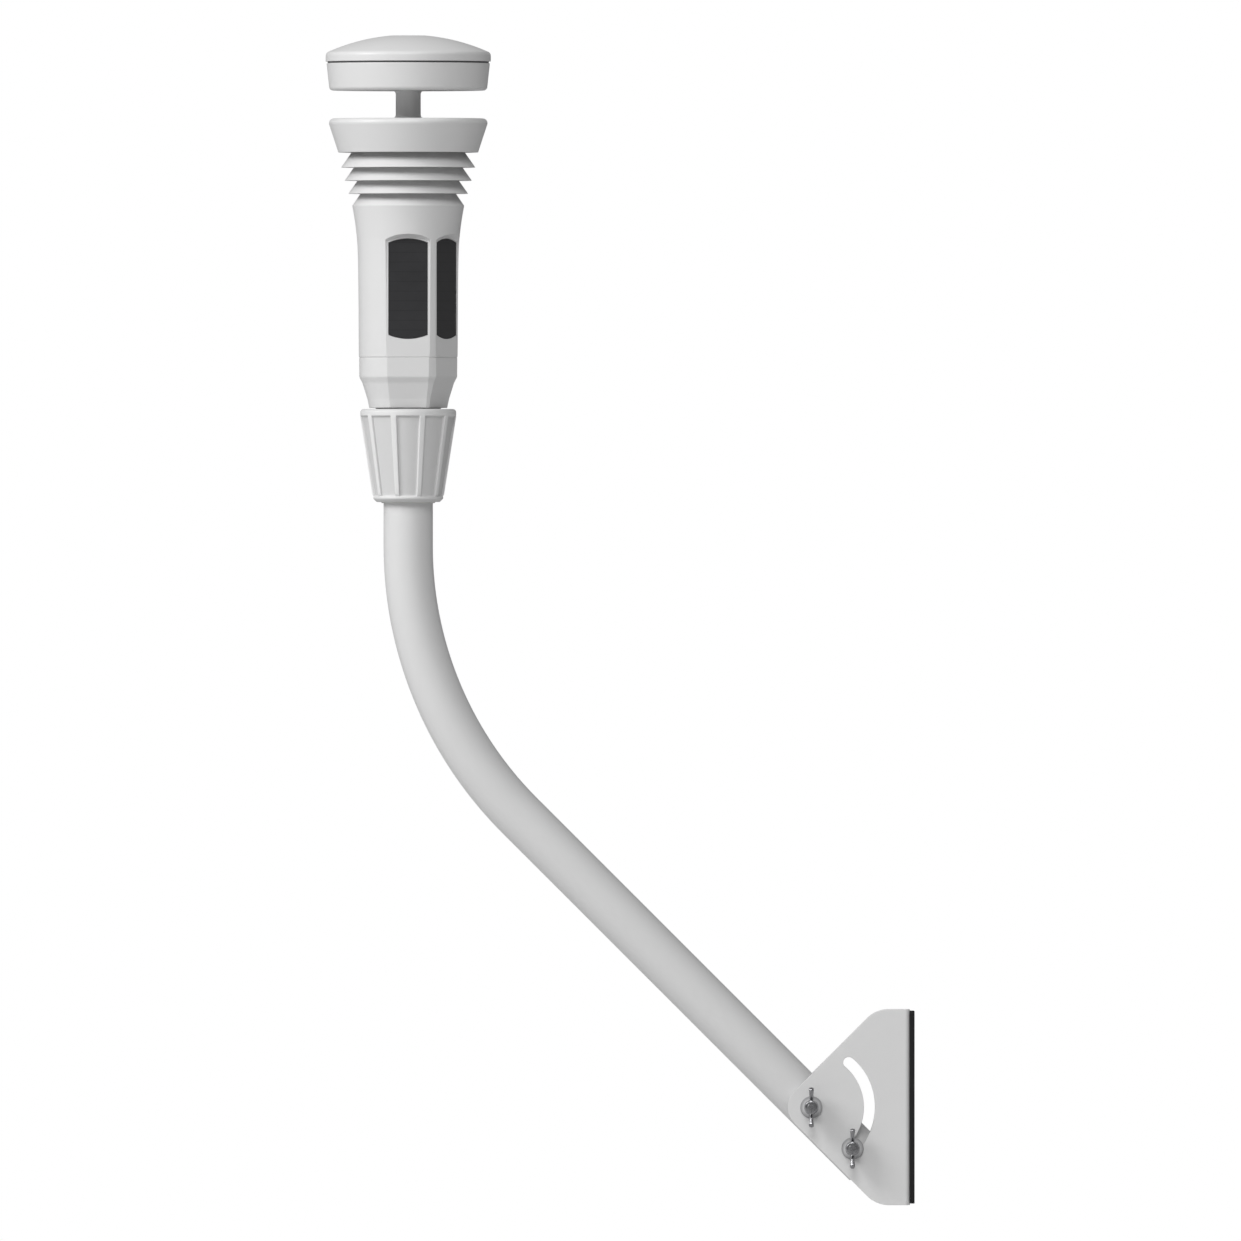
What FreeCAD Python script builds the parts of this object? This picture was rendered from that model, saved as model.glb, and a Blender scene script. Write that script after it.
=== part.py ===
import FreeCAD, Part
import math
import os
import re
import Sketcher

# Driving dimensions in millimetres and degrees, one row of the sheet each.
# Heights are measured from the arm pivot, distances outward from the wall.
DIMENSIONS = (
    ("cut_through", 200.0),
    ("pad_thick", 3.0),
    ("pad_height", 124.0),
    ("pad_width", 36.0),
    ("web_height", 126.0),
    ("web_hole_r", 3.25),
    ("web_hole_y", 8.0),
    ("web_hole_z", 50.0),
    ("sheet_thick", 2.0),
    ("sheet_outer_bend", 3.0),
    ("sheet_inner_bend", 1.0),
    ("cheek_gap", 32.4),
    ("cheek_corner_r", 20.0),
    ("pivot_out", 66.5),
    ("nose_r", 15.0),
    ("slope_angle", 45.0),
    ("slot_radius", 37.5),
    ("slot_width", 7.2),
    ("slot_half_angle", 50.0),
    ("bolt_r", 3.0),
    ("bolt_hole_r", 3.2),
    ("bolt_fit_r", 3.05),
    ("bolt_length", 50.0),
    ("bolt_tip_chamfer", 0.8),
    ("head_r", 7.5),
    ("head_height", 3.2),
    ("neck_square", 6.0),
    ("neck_square_hole", 6.3),
    ("washer_r", 7.1),
    ("washer_thick", 1.2),
    ("nut_height", 8.0),
    ("nut_base_r", 4.75),
    ("nut_top_r", 4.0),
    ("wing_span", 26.0),
    ("wing_thick", 2.6),
    ("wing_low", 1.0),
    ("wing_high", 12.5),
    ("wing_root", 3.6),
    ("wing_waist", 9.0),
    ("wing_tip_flat", 2.0),
    ("tube_r", 15.875),
    ("tube_bore_r", 14.275),
    ("tube_tail", 51.0),
    ("tube_top", 452.0),
    ("arm_reach", 259.5),
    ("arm_bend_r", 245.0),
    ("sleeve_bore_r", 16.175),
    ("sleeve_outer_r", 17.1),
    ("sleeve_bottom", 414.0),
    ("sleeve_roof", 452.3),
    ("sleeve_top", 453.6),
    ("ring_bore_r", 16.2),
    ("ring_lip_r", 17.3),
    ("ring_body_r", 20.0),
    ("ring_nose_r", 18.6),
    ("ring_bottom", 388.9),
    ("ring_shoulder", 392.9),
    ("ring_cone_bottom", 405.0),
    ("ring_top", 411.0),
    ("collar_bottom", 389.6),
    ("collar_foot_r", 20.3),
    ("collar_foot_top", 391.8),
    ("collar_ring_r", 22.5),
    ("collar_ring_top", 393.0),
    ("collar_low_r", 21.6),
    ("collar_low", 394.8),
    ("collar_high_r", 29.3),
    ("collar_high", 444.0),
    ("collar_rim_r", 30.9),
    ("collar_rim_bottom", 445.2),
    ("collar_top", 449.5),
    ("collar_rim_round", 2.2),
    ("collar_lip_r", 17.6),
    ("collar_lip_top", 392.6),
    ("collar_seat_r", 20.3),
    ("collar_thread_r", 21.3),
    ("collar_thread_bottom", 411.3),
    ("collar_relief_r", 24.8),
    ("collar_relief_bottom", 432.0),
    ("rib_count", 10),
    ("rib_width", 3.0),
    ("rib_rise", 1.6),
    ("rib_sink", 1.0),
    ("base_bottom", 450.2),
    ("base_neck_r", 21.0),
    ("base_neck_bottom", 412.0),
    ("base_bore_r", 17.4),
    ("base_bore_roof", 453.9),
    ("base_slot_width", 2.0),
    ("base_slot_top", 436.0),
    ("base_foot_r", 25.1),
    ("base_taper_z_a", 456.0),
    ("base_taper_r_a", 26.3),
    ("base_taper_z_b", 461.1),
    ("base_taper_r_b", 27.9),
    ("base_taper_z_c", 466.3),
    ("base_taper_r_c", 29.5),
    ("base_ring_z", 470.1),
    ("base_ring_r", 31.5),
    ("base_foot_flat", 22.3),
    ("base_cavity_r", 23.0),
    ("base_cavity_floor", 457.0),
    ("base_spigot_r", 25.4),
    ("base_spigot_top", 490.0),
    ("shelf_front", 9.2),
    ("shelf_back", 5.2),
    ("shelf_top", 488.0),
    ("seam_z", 482.7),
    ("seam_chamfer", 0.4),
    ("seal_z", 486.4),
    ("seal_r", 0.8),
    ("seal_depth", 1.5),
    ("seal_clear", 0.02),
    ("flat_distance", 28.6),
    ("flat_half_width", 14.05),
    ("flat_depth", 14.0),
    ("flat_side_top", 558.5),
    ("flat_arch_top", 562.2),
    ("facet_half_width", 14.0),
    ("facet_step", 60.0),
    ("facet_count", 4),
    ("facet_sweep", 180.0),
    ("panel_half_width", 12.55),
    ("panel_gap", 0.15),
    ("panel_side_bottom", 497.2),
    ("panel_side_top", 556.4),
    ("panel_arch", 2.6),
    ("panel_recess", 1.0),
    ("panel_thick", 0.8),
    ("body_r_a", 31.85),
    ("body_z_b", 518.0),
    ("body_r_b", 32.0),
    ("body_z_c", 543.5),
    ("body_r_c", 32.3),
    ("body_z_d", 553.8),
    ("body_r_d", 32.6),
    ("body_z_e", 564.0),
    ("body_r_e", 33.5),
    ("body_z_f", 574.4),
    ("body_r_f", 35.0),
    ("body_z_g", 580.4),
    ("body_r_g", 36.0),
    ("body_top", 592.6),
    ("body_roof_thick", 2.0),
    ("body_roof_draft", 0.5),
    ("body_cavity_r", 25.6),
    ("body_cavity_cone", 580.0),
    ("body_cable_r", 5.0),
    ("louvre_slope", 0.7),
    ("post_circle", 22.0),
    ("post_count", 3),
    ("post_start_angle", 30.0),
    ("post_r", 3.0),
    ("post_hole_r", 1.7),
    ("fin_rise", 12.0),
    ("fin_thick", 1.5),
    ("fin_edge", 0.7),
    ("fin_root", 1.6),
    ("fin_bore_r", 18.0),
    ("fin_low_z", 588.1),
    ("fin_low_r", 38.6),
    ("fin_mid_z", 596.5),
    ("fin_mid_r", 41.0),
    ("fin_high_z", 605.0),
    ("fin_high_r", 43.3),
    ("screw_r", 1.5),
    ("screw_head_r", 2.75),
    ("screw_head_height", 2.0),
    ("screw_top", 628.0),
    ("screw_hole_r", 1.55),
    ("housing_bottom", 614.7),
    ("housing_low_r", 45.0),
    ("housing_top", 636.6),
    ("housing_high_r", 52.2),
    ("housing_round", 3.0),
    ("housing_wall", 2.2),
    ("housing_roof", 2.5),
    ("stem_hole_r", 7.0),
    ("stem_spigot_r", 6.9),
    ("stem_r", 8.05),
    ("stem_flare", 2.5),
    ("stem_bore_r", 5.0),
    ("stem_nut_height", 5.0),
    ("stem_nut_r", 11.0),
    ("stem_spigot_extra", 6.5),
    ("tray_bottom", 654.6),
    ("tray_low_r", 50.7),
    ("tray_top", 672.2),
    ("tray_high_r", 52.6),
    ("tray_round", 2.5),
    ("tray_floor", 2.5),
    ("tray_wall", 2.2),
    ("sounder_circle", 27.0),
    ("sounder_count", 4),
    ("sounder_start_angle", 45.0),
    ("sounder_r", 5.0),
    ("sounder_hole_r", 5.1),
    ("sounder_flange_r", 6.4),
    ("sounder_flange_thick", 1.5),
    ("sounder_set_back", 0.3),
    ("board_thick", 1.6),
    ("sensor_board_r", 36.0),
    ("sensor_board_z", 667.0),
    ("light_chip_side", 3.0),
    ("light_chip_height", 1.0),
    ("sensor_chip_side", 7.0),
    ("sensor_chip_x", 14.0),
    ("gasket_inner_r", 50.5),
    ("gasket_outer_r", 51.9),
    ("cap_bottom", 673.3),
    ("cap_side_r", 53.2),
    ("cap_wall", 2.2),
    ("cap_apex", 690.5),
    ("cap_dome_r", 127.0),
    ("cap_round", 3.0),
    ("window_r", 11.3),
    ("window_step", 1.0),
    ("window_throat_r", 8.3),
    ("window_plug_r", 8.0),
    ("window_depth", 2.6),
    ("window_clear", 0.15),
    ("rain_boss_inner_r", 12.0),
    ("rain_boss_outer_r", 18.5),
    ("rain_boss_bottom", 686.2),
    ("rain_disc_outer_r", 18.0),
    ("rain_disc_thick", 0.8),
    ("board_half_width", 20.0),
    ("board_front", 8.0),
    ("board_top", 574.0),
    ("board_chip_side", 12.0),
    ("board_chip_rise", 1.4),
    ("board_chip_z", 540.0),
    ("board_radio_width", 16.0),
    ("board_radio_height", 18.0),
    ("board_radio_z", 512.0),
    ("board_radio_rise", 2.4),
    ("cell_r", 9.2),
    ("cell_y", 9.0),
    ("cell_bottom", 502.0),
    ("cell_top", 568.0),
    ("cell_cup_r", 9.4),
    ("cell_cap_r", 3.2),
    ("cell_cap_height", 1.2),
    ("holder_half_width", 11.0),
    ("holder_back", 6.0),
    ("holder_end", 2.0),
    ("aerial_x", 16.0),
    ("aerial_y", 12.5),
    ("aerial_r", 2.5),
    ("aerial_wire_r", 0.5),
    ("aerial_bottom", 548.0),
    ("aerial_height", 20.0),
    ("aerial_pitch", 2.5),
    ("cable_r", 1.5),
    ("cable_y", 9.5),
    ("cable_bottom", 556.0),
    ("cable_bend_start", 575.0),
    ("cable_bend_r", 16.217),
    ("cable_bend_angle", 45.0),
    ("climate_x", 10.0),
    ("climate_half_width", 6.0),
    ("climate_height", 20.0),
    ("climate_chip", 3.0),
    ("climate_chip_z", 608.0),
)

STATION = "-pivot_out - arm_reach"
SLOT_BOLT_X = "-pivot_out + slot_radius * cos(slope_angle * 1 deg)"
SLOT_BOLT_Z = "-slot_radius * sin(slope_angle * 1 deg)"
CHEEK_OUT = "(cheek_gap / 2 + sheet_thick)"
NUT_SEAT = "(cheek_gap / 2 + sheet_thick + washer_thick)"
NODES = []


def make_sheet(doc):
    """Write the driving dimensions into a spreadsheet, one alias per row."""
    sheet = doc.addObject("Spreadsheet::Sheet", "dims")
    for row, (name, number) in enumerate(DIMENSIONS, start=1):
        sheet.set("A%d" % row, name)
        sheet.set("B%d" % row, str(number))
        sheet.setAlias("B%d" % row, name)
    doc.recompute()
    return sheet


def in_sheet(text):
    """Point the plain dimension names of an expression at the sheet."""
    return re.sub(r"[a-z]+(_[a-z]+)+", lambda name: "dims." + name.group(), text)


def bind(item, prop, text):
    """Drive one property of an object from the sheet."""
    item.setExpression(prop, in_sheet(text))


def measure(text):
    """Give the present value of an expression on the sheet."""
    return float(SHEET.evalExpression(text))


def new_body(label, x="0", y="0", z="0"):
    """Start a named piece with its placement driven from the sheet."""
    body = DOC.addObject("PartDesign::Body", label)
    body.Label = label
    bind(body, "Placement.Base.x", x)
    bind(body, "Placement.Base.y", y)
    bind(body, "Placement.Base.z", z)
    NODES.append(body)
    return body


def origin_feature(body, role):
    """Find one of the body's own origin planes or axes."""
    return [item for item in body.Origin.OriginFeatures if item.Role == role][0]


def new_sketch(body, plane, height="0"):
    """Attach a sketch to an origin plane of its body, at a height above it."""
    sketch = body.newObject("Sketcher::SketchObject", "outline")
    sketch.AttachmentSupport = [(origin_feature(body, plane), "")]
    sketch.MapMode = "FlatFace"
    bind(sketch, "AttachmentOffset.Base.z", height)
    return sketch


def drive(sketch, kind, geo, point, text):
    """Hold one coordinate of a sketch point at an expression."""
    ends = (-1, 1, geo, point)
    index = sketch.addConstraint(Sketcher.Constraint(kind, *ends, measure(text)))
    bind(sketch, "Constraints[%d]" % index, text)


def drive_point(sketch, geo, point, x, y):
    """Hold both coordinates of a sketch point at expressions."""
    drive(sketch, "DistanceX", geo, point, x)
    drive(sketch, "DistanceY", geo, point, y)


def arc_between(start, end, centre, turn):
    """Make the arc about a centre, turning left (1) or right (-1)."""
    first, last = (start, end) if turn > 0 else (end, start)
    circle = Part.Circle(centre, FreeCAD.Vector(0, 0, 1), (first - centre).Length)
    angles = [math.atan2(p.y - centre.y, p.x - centre.x) for p in (first, last)]
    return Part.ArcOfCircle(circle, angles[0], angles[1])


def draw(sketch, steps, closed=True):
    """Draw a chain of lines (x, y) and arcs (x, y, centre x, centre y, turn).

    Each step gives where its line or arc ends, and an arc's centre and turn.
    """
    spots = [FreeCAD.Vector(measure(s[0]), measure(s[1]), 0) for s in steps]
    pairs = list(range(len(steps))) if closed else list(range(1, len(steps)))
    ends = []
    for index in pairs:
        start, end, step = spots[index - 1], spots[index], steps[index]
        if len(step) == 2:
            geo = sketch.addGeometry(Part.LineSegment(start, end))
            ends.append((geo, 1, 2))
            continue
        centre = FreeCAD.Vector(measure(step[2]), measure(step[3]), 0)
        geo = sketch.addGeometry(arc_between(start, end, centre, step[4]))
        ends.append((geo, 1, 2) if step[4] > 0 else (geo, 2, 1))
        upright = abs(end.y - start.y) > abs(end.x - start.x)
        kind, text = ("DistanceX", step[2]) if upright else ("DistanceY", step[3])
        drive(sketch, kind, geo, 3, text)
    if not closed:
        drive_point(sketch, ends[0][0], ends[0][1], *steps[0][:2])
    for place, index in enumerate(pairs):
        geo, first, last = ends[place]
        drive_point(sketch, geo, last, *steps[index][:2])
        if closed or place + 1 < len(pairs):
            after = ends[(place + 1) % len(ends)]
            joined = (geo, last, after[0], after[1])
            sketch.addConstraint(Sketcher.Constraint("Coincident", *joined))


def draw_circle(sketch, x, y, radius):
    """Draw a circle with its centre and radius driven."""
    centre = FreeCAD.Vector(measure(x), measure(y), 0)
    round_line = Part.Circle(centre, FreeCAD.Vector(0, 0, 1), measure(radius))
    geo = sketch.addGeometry(round_line)
    drive_point(sketch, geo, 3, x, y)
    index = sketch.addConstraint(Sketcher.Constraint("Radius", geo, measure(radius)))
    bind(sketch, "Constraints[%d]" % index, radius)


def draw_box(sketch, left, right, low, high):
    """Draw a rectangle between driven sides."""
    draw(sketch, [(left, low), (right, low), (right, high), (left, high)])


def draw_diamond(sketch, x, side):
    """Draw a square standing on its corner, in line with the sloping arm."""
    half = "(%s / sqrt(2))" % side
    draw(sketch, [
        (x, "-" + half),
        ("%s + %s" % (x, half), "0"),
        (x, half),
        ("%s - %s" % (x, half), "0"),
    ])


def extrude(body, kind, sketch, length, both=False, flip=False):
    """Pad or pocket a sketch, on one side or evenly to both."""
    feature = body.newObject("PartDesign::" + kind, kind.lower())
    feature.Profile = sketch
    feature.Midplane = both
    feature.Reversed = flip
    bind(feature, "Length", length)
    sketch.Visibility = False
    return feature


def spin(body, kind, sketch, axis="V_Axis"):
    """Revolve or groove a sketch a full turn about its own axis."""
    feature = body.newObject("PartDesign::" + kind, kind.lower())
    feature.Profile = sketch
    feature.ReferenceAxis = (sketch, [axis])
    return feature


def sweep(body, profile, path):
    """Run a section along a path."""
    pipe = body.newObject("PartDesign::AdditivePipe", "pipe")
    pipe.Profile = profile
    pipe.Spine = (path, [])
    return pipe


def turned(label, steps, x=STATION):
    """Make a turned piece about the upright axis from its half section."""
    body = new_body(label, x)
    sketch = new_sketch(body, "XZ_Plane")
    draw(sketch, steps)
    spin(body, "Revolution", sketch)
    return body


def around(body, feature, count, sweep_angle="360"):
    """Repeat a feature about the body's upright axis."""
    pattern = body.newObject("PartDesign::PolarPattern", "ring")
    pattern.Originals = [feature]
    pattern.Axis = (origin_feature(body, "Z_Axis"), [""])
    bind(pattern, "Angle", sweep_angle)
    bind(pattern, "Occurrences", count)
    body.Tip = pattern
    return pattern


def round_rings(body, feature, radius, rings):
    """Round the circular edges lying at the given radius and height pairs."""
    DOC.recompute()
    wanted = [(measure(r), measure(z)) for r, z in rings]
    names = []
    for index, edge in enumerate(feature.Shape.Edges, start=1):
        if not isinstance(edge.Curve, Part.Circle):
            continue
        here = (edge.Curve.Radius, edge.Curve.Center.z)
        if any(math.dist(here, ring) < 0.01 for ring in wanted):
            names.append("Edge%d" % index)
    fillet = body.newObject("PartDesign::Fillet", "round")
    fillet.Base = (feature, names)
    bind(fillet, "Radius", radius)
    return fillet


def round_uprights(body, feature, radius, corners):
    """Round the straight upright edges standing at the given x, y places."""
    DOC.recompute()
    wanted = [(measure(x), measure(y)) for x, y in corners]
    names = []
    for index, edge in enumerate(feature.Shape.Edges, start=1):
        box = edge.BoundBox
        flat = box.XLength + box.YLength < 0.01
        here = (box.XMin, box.YMin)
        if flat and any(math.dist(here, spot) < 0.01 for spot in wanted):
            names.append("Edge%d" % index)
    fillet = body.newObject("PartDesign::Fillet", "round")
    fillet.Base = (feature, names)
    bind(fillet, "Radius", radius)
    return fillet


def post_spot(index):
    """Give the x and y of one of the louvre screws."""
    angle = "((post_start_angle + %d * 360 / post_count) * 1 deg)" % index
    return "post_circle * cos%s" % angle, "post_circle * sin%s" % angle


def posts(body, low, high, radius="post_r"):
    """Raise the round posts the louvre screws run through."""
    sketch = new_sketch(body, "XY_Plane", low)
    for index in range(int(measure("post_count"))):
        draw_circle(sketch, *post_spot(index), radius)
    return extrude(body, "Pad", sketch, "%s - %s" % (high, low))


def post_holes(body, low, high, radius="post_hole_r"):
    """Drill the posts between two heights."""
    sketch = new_sketch(body, "XY_Plane", low)
    for index in range(int(measure("post_count"))):
        draw_circle(sketch, *post_spot(index), radius)
    return extrude(body, "Pocket", sketch, "%s - %s" % (high, low), flip=True)


def make_wall_pad():
    """Rubber pad between the bracket and the wall, holed for four screws."""
    body = new_body("wall_pad")
    sketch = new_sketch(body, "YZ_Plane")
    half = ("pad_width / 2", "pad_height / 2")
    draw_box(sketch, "-" + half[0], half[0], "-" + half[1], half[1])
    extrude(body, "Pad", sketch, "pad_thick", flip=True)
    holes = new_sketch(body, "YZ_Plane")
    web_holes(holes)
    extrude(body, "Pocket", holes, "cut_through", both=True)


def web_holes(sketch):
    """Draw the four wall screw holes."""
    for side in ("", "-"):
        for end in ("", "-"):
            draw_circle(sketch, side + "web_hole_y", end + "web_hole_z", "web_hole_r")


def cheek_outline(sketch):
    """Draw the side of the bracket: web, rounded corners, slopes and nose."""
    nose = ("-pivot_out - nose_r * sin(slope_angle * 1 deg)", "nose_r * cos(slope_angle * 1 deg)")
    run = "(web_height / 2 - pivot_out - nose_r / sin(slope_angle * 1 deg))"
    blend = "cheek_corner_r * tan(slope_angle * 0.5 deg)"
    flat_end = run + " + " + blend
    slope_x = "%s - %s * cos(slope_angle * 1 deg)" % (run, blend)
    slope_z = "(web_height / 2 - %s * sin(slope_angle * 1 deg))" % blend
    inner_z = "(web_height / 2 - cheek_corner_r)"
    draw(sketch, [
        ("-pad_thick", "-web_height / 2"),
        ("-pad_thick", "web_height / 2"),
        (flat_end, "web_height / 2"),
        (slope_x, slope_z, flat_end, inner_z, 1),
        nose,
        (nose[0], "-" + nose[1], "-pivot_out", "0", 1),
        (slope_x, "-" + slope_z),
        (flat_end, "-web_height / 2", flat_end, "-" + inner_z, 1),
    ])


def arc_slot(sketch):
    """Draw the curved adjusting slot about the pivot."""
    half = "slot_half_angle * 1 deg"
    spots = []
    for radius in ("(slot_radius + slot_width / 2)", "(slot_radius - slot_width / 2)", "slot_radius"):
        spots.append(("-pivot_out + %s * cos(%s)" % (radius, half), "%s * sin(%s)" % (radius, half)))
    outer, inner, middle = spots
    draw(sketch, [
        (outer[0], outer[1], "-pivot_out", "0", 1),
        (inner[0], inner[1], middle[0], middle[1], 1),
        (inner[0], "-" + inner[1], "-pivot_out", "0", -1),
        (outer[0], "-" + outer[1], middle[0], "-" + middle[1], 1),
    ])


def make_wall_bracket():
    """Folded sheet channel: web on the wall, two slotted cheeks for the arm."""
    body = new_body("wall_bracket")
    sketch = new_sketch(body, "XZ_Plane")
    cheek_outline(sketch)
    extrude(body, "Pad", sketch, "cheek_gap + 2 * sheet_thick", both=True)
    channel = new_sketch(body, "XY_Plane")
    inside = "-pad_thick - sheet_thick"
    draw_box(channel, "-pivot_out - 2 * nose_r", inside, "-cheek_gap / 2", "cheek_gap / 2")
    hollow = extrude(body, "Pocket", channel, "cut_through", both=True)
    outer = [("-pad_thick", CHEEK_OUT), ("-pad_thick", "-" + CHEEK_OUT)]
    bent = round_uprights(body, hollow, "sheet_outer_bend", outer)
    inner = [(inside, "cheek_gap / 2"), (inside, "-cheek_gap / 2")]
    round_uprights(body, bent, "sheet_inner_bend", inner)
    cheek_openings(body)
    web = new_sketch(body, "YZ_Plane")
    web_holes(web)
    extrude(body, "Pocket", web, "cut_through", both=True)


def cheek_openings(body):
    """Cut the slot, the round pivot hole and the far square pivot hole."""
    slots = new_sketch(body, "XZ_Plane")
    arc_slot(slots)
    extrude(body, "Pocket", slots, "cut_through", both=True)
    pivot = new_sketch(body, "XZ_Plane")
    draw_circle(pivot, "-pivot_out", "0", "bolt_hole_r")
    extrude(body, "Pocket", pivot, "cut_through", flip=True)
    square = new_sketch(body, "XZ_Plane")
    draw_diamond(square, "-pivot_out", "neck_square_hole")
    extrude(body, "Pocket", square, "cut_through")


def make_bolt(label, x, z):
    """Coach bolt across both cheeks with a domed head on the far side."""
    body = new_body(label, x, "0", z)
    sketch = new_sketch(body, "XY_Plane")
    tip = CHEEK_OUT + " - bolt_length"
    crown_r = "((head_r * head_r + head_height * head_height) / (2 * head_height))"
    draw(sketch, [
        ("0", tip),
        ("bolt_r - bolt_tip_chamfer", tip),
        ("bolt_r", tip + " + bolt_tip_chamfer"),
        ("bolt_r", CHEEK_OUT),
        ("head_r", CHEEK_OUT),
        ("0", CHEEK_OUT + " + head_height", "0", CHEEK_OUT + " + head_height - " + crown_r, 1),
    ])
    spin(body, "Revolution", sketch)
    neck = new_sketch(body, "XZ_Plane", "-" + CHEEK_OUT)
    draw_diamond(neck, "0", "neck_square")
    extrude(body, "Pad", neck, "sheet_thick")


def make_washer(label, x, z):
    """Flat washer between the near cheek and the wing nut."""
    body = new_body(label, x, "0", z)
    sketch = new_sketch(body, "XY_Plane")
    draw_box(sketch, "bolt_hole_r", "washer_r", "-" + NUT_SEAT, "-" + CHEEK_OUT)
    spin(body, "Revolution", sketch)


def make_wing_nut(label, x, z):
    """Wing nut with a tapered boss and two upright wings."""
    body = new_body(label, x, "0", z)
    sketch = new_sketch(body, "XY_Plane")
    draw(sketch, [
        ("bolt_fit_r", "-" + NUT_SEAT),
        ("nut_base_r", "-" + NUT_SEAT),
        ("nut_top_r", "-%s - nut_height" % NUT_SEAT),
        ("bolt_fit_r", "-%s - nut_height" % NUT_SEAT),
    ])
    spin(body, "Revolution", sketch)
    wings = new_sketch(body, "YZ_Plane")
    for side in ("", "-"):
        draw(wings, [
            ("-%s - wing_low" % NUT_SEAT, side + "wing_root"),
            ("-%s - wing_low - wing_tip_flat" % NUT_SEAT, side + "wing_waist"),
            ("-%s - wing_high / 2 - wing_low" % NUT_SEAT, side + "(wing_span / 2)"),
            ("-%s - wing_high + wing_tip_flat" % NUT_SEAT, side + "(wing_span / 2)"),
            ("-%s - wing_high" % NUT_SEAT, side + "(wing_span / 2 - wing_tip_flat)"),
            ("-%s - nut_height" % NUT_SEAT, side + "(wing_root + wing_low)"),
            ("-%s - nut_height + wing_low" % NUT_SEAT, side + "wing_root"),
        ])
    extrude(body, "Pad", wings, "wing_thick", both=True)


def make_arm_tube():
    """Bent tube: tail past the pivot, rising arm, large bend, upright end."""
    body = new_body("arm_tube")
    path = new_sketch(body, "XZ_Plane")
    bend = "arm_bend_r * tan(slope_angle * 0.5 deg)"
    draw(path, [
        (STATION, "tube_top"),
        (STATION, "arm_reach + " + bend),
        ("%s + %s * sin(slope_angle * 1 deg)" % (STATION, bend),
         "arm_reach - %s * cos(slope_angle * 1 deg)" % bend,
         STATION + " + arm_bend_r", "arm_reach + " + bend, 1),
        ("-pivot_out + tube_tail * cos(slope_angle * 1 deg)",
         "-tube_tail * sin(slope_angle * 1 deg)"),
    ], closed=False)
    section = new_sketch(body, "XY_Plane", "tube_top")
    draw_circle(section, STATION, "0", "tube_r")
    draw_circle(section, STATION, "0", "tube_bore_r")
    sweep(body, section, path)
    cross = new_sketch(body, "XZ_Plane")
    draw_circle(cross, "-pivot_out", "0", "bolt_fit_r")
    draw_circle(cross, SLOT_BOLT_X, SLOT_BOLT_Z, "bolt_fit_r")
    extrude(body, "Pocket", cross, "cut_through", both=True)


def make_pole_sleeve():
    """Plastic cup over the tube end that the station turns and slides on."""
    turned("pole_sleeve", [
        ("sleeve_bore_r", "sleeve_bottom"),
        ("sleeve_outer_r", "sleeve_bottom"),
        ("sleeve_outer_r", "sleeve_top"),
        ("0", "sleeve_top"),
        ("0", "sleeve_roof"),
        ("sleeve_bore_r", "sleeve_roof"),
    ])


def make_compression_ring():
    """Pale ring carried in the collar that squeezes onto the tube."""
    turned("compression_ring", [
        ("ring_bore_r", "ring_bottom"),
        ("ring_lip_r", "ring_bottom"),
        ("ring_lip_r", "ring_shoulder"),
        ("ring_body_r", "ring_shoulder"),
        ("ring_body_r", "ring_cone_bottom"),
        ("ring_nose_r", "ring_top"),
        ("ring_bore_r", "ring_top"),
    ])


def make_lock_collar():
    """Ribbed tapered nut that tightens the station on the tube."""
    body = turned("lock_collar", [
        ("collar_lip_r", "collar_bottom"),
        ("collar_foot_r", "collar_bottom"),
        ("collar_ring_r", "collar_foot_top"),
        ("collar_ring_r", "collar_ring_top"),
        ("collar_low_r", "collar_low"),
        ("collar_high_r", "collar_high"),
        ("collar_rim_r", "collar_rim_bottom"),
        ("collar_rim_r", "collar_top"),
        ("collar_relief_r", "collar_top"),
        ("collar_relief_r", "collar_relief_bottom"),
        ("collar_thread_r", "collar_relief_bottom"),
        ("collar_thread_r", "collar_thread_bottom"),
        ("collar_seat_r", "collar_thread_bottom"),
        ("collar_seat_r", "collar_lip_top"),
        ("collar_lip_r", "collar_lip_top"),
    ])
    rings = [("collar_rim_r", "collar_top")]
    round_rings(body, body.Tip, "collar_rim_round", rings)
    rib = new_sketch(body, "XZ_Plane")
    draw(rib, [
        ("collar_low_r - rib_sink", "collar_ring_top"),
        ("collar_ring_r", "collar_ring_top"),
        ("collar_low_r + rib_rise", "collar_low"),
        ("collar_high_r + rib_rise", "collar_high"),
        ("collar_rim_r", "collar_rim_bottom"),
        ("collar_high_r - rib_sink", "collar_rim_bottom"),
    ])
    ridge = extrude(body, "Pad", rib, "rib_width", both=True)
    around(body, ridge, "rib_count")


def flats(body, low, side_high, arch_high):
    """Plane the panel facets on a turned shell, arched at the upper end."""
    sketch = new_sketch(body, "XZ_Plane", "flat_distance")
    rise = "(%s - %s)" % (arch_high, side_high)
    arch_r = "((facet_half_width * facet_half_width + %s * %s) / (2 * %s))" % (rise, rise, rise)
    centre_z = "(%s - %s)" % (arch_high, arch_r)
    edge_z = "(%s + sqrt(%s * %s - flat_half_width * flat_half_width))" % (centre_z, arch_r, arch_r)
    draw(sketch, [
        ("-flat_half_width", low),
        ("flat_half_width", low),
        ("flat_half_width", edge_z),
        ("-flat_half_width", edge_z, "0", centre_z, 1),
    ])
    cut = extrude(body, "Pocket", sketch, "flat_depth", flip=True)
    return around(body, cut, "facet_count", "facet_sweep")


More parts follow.
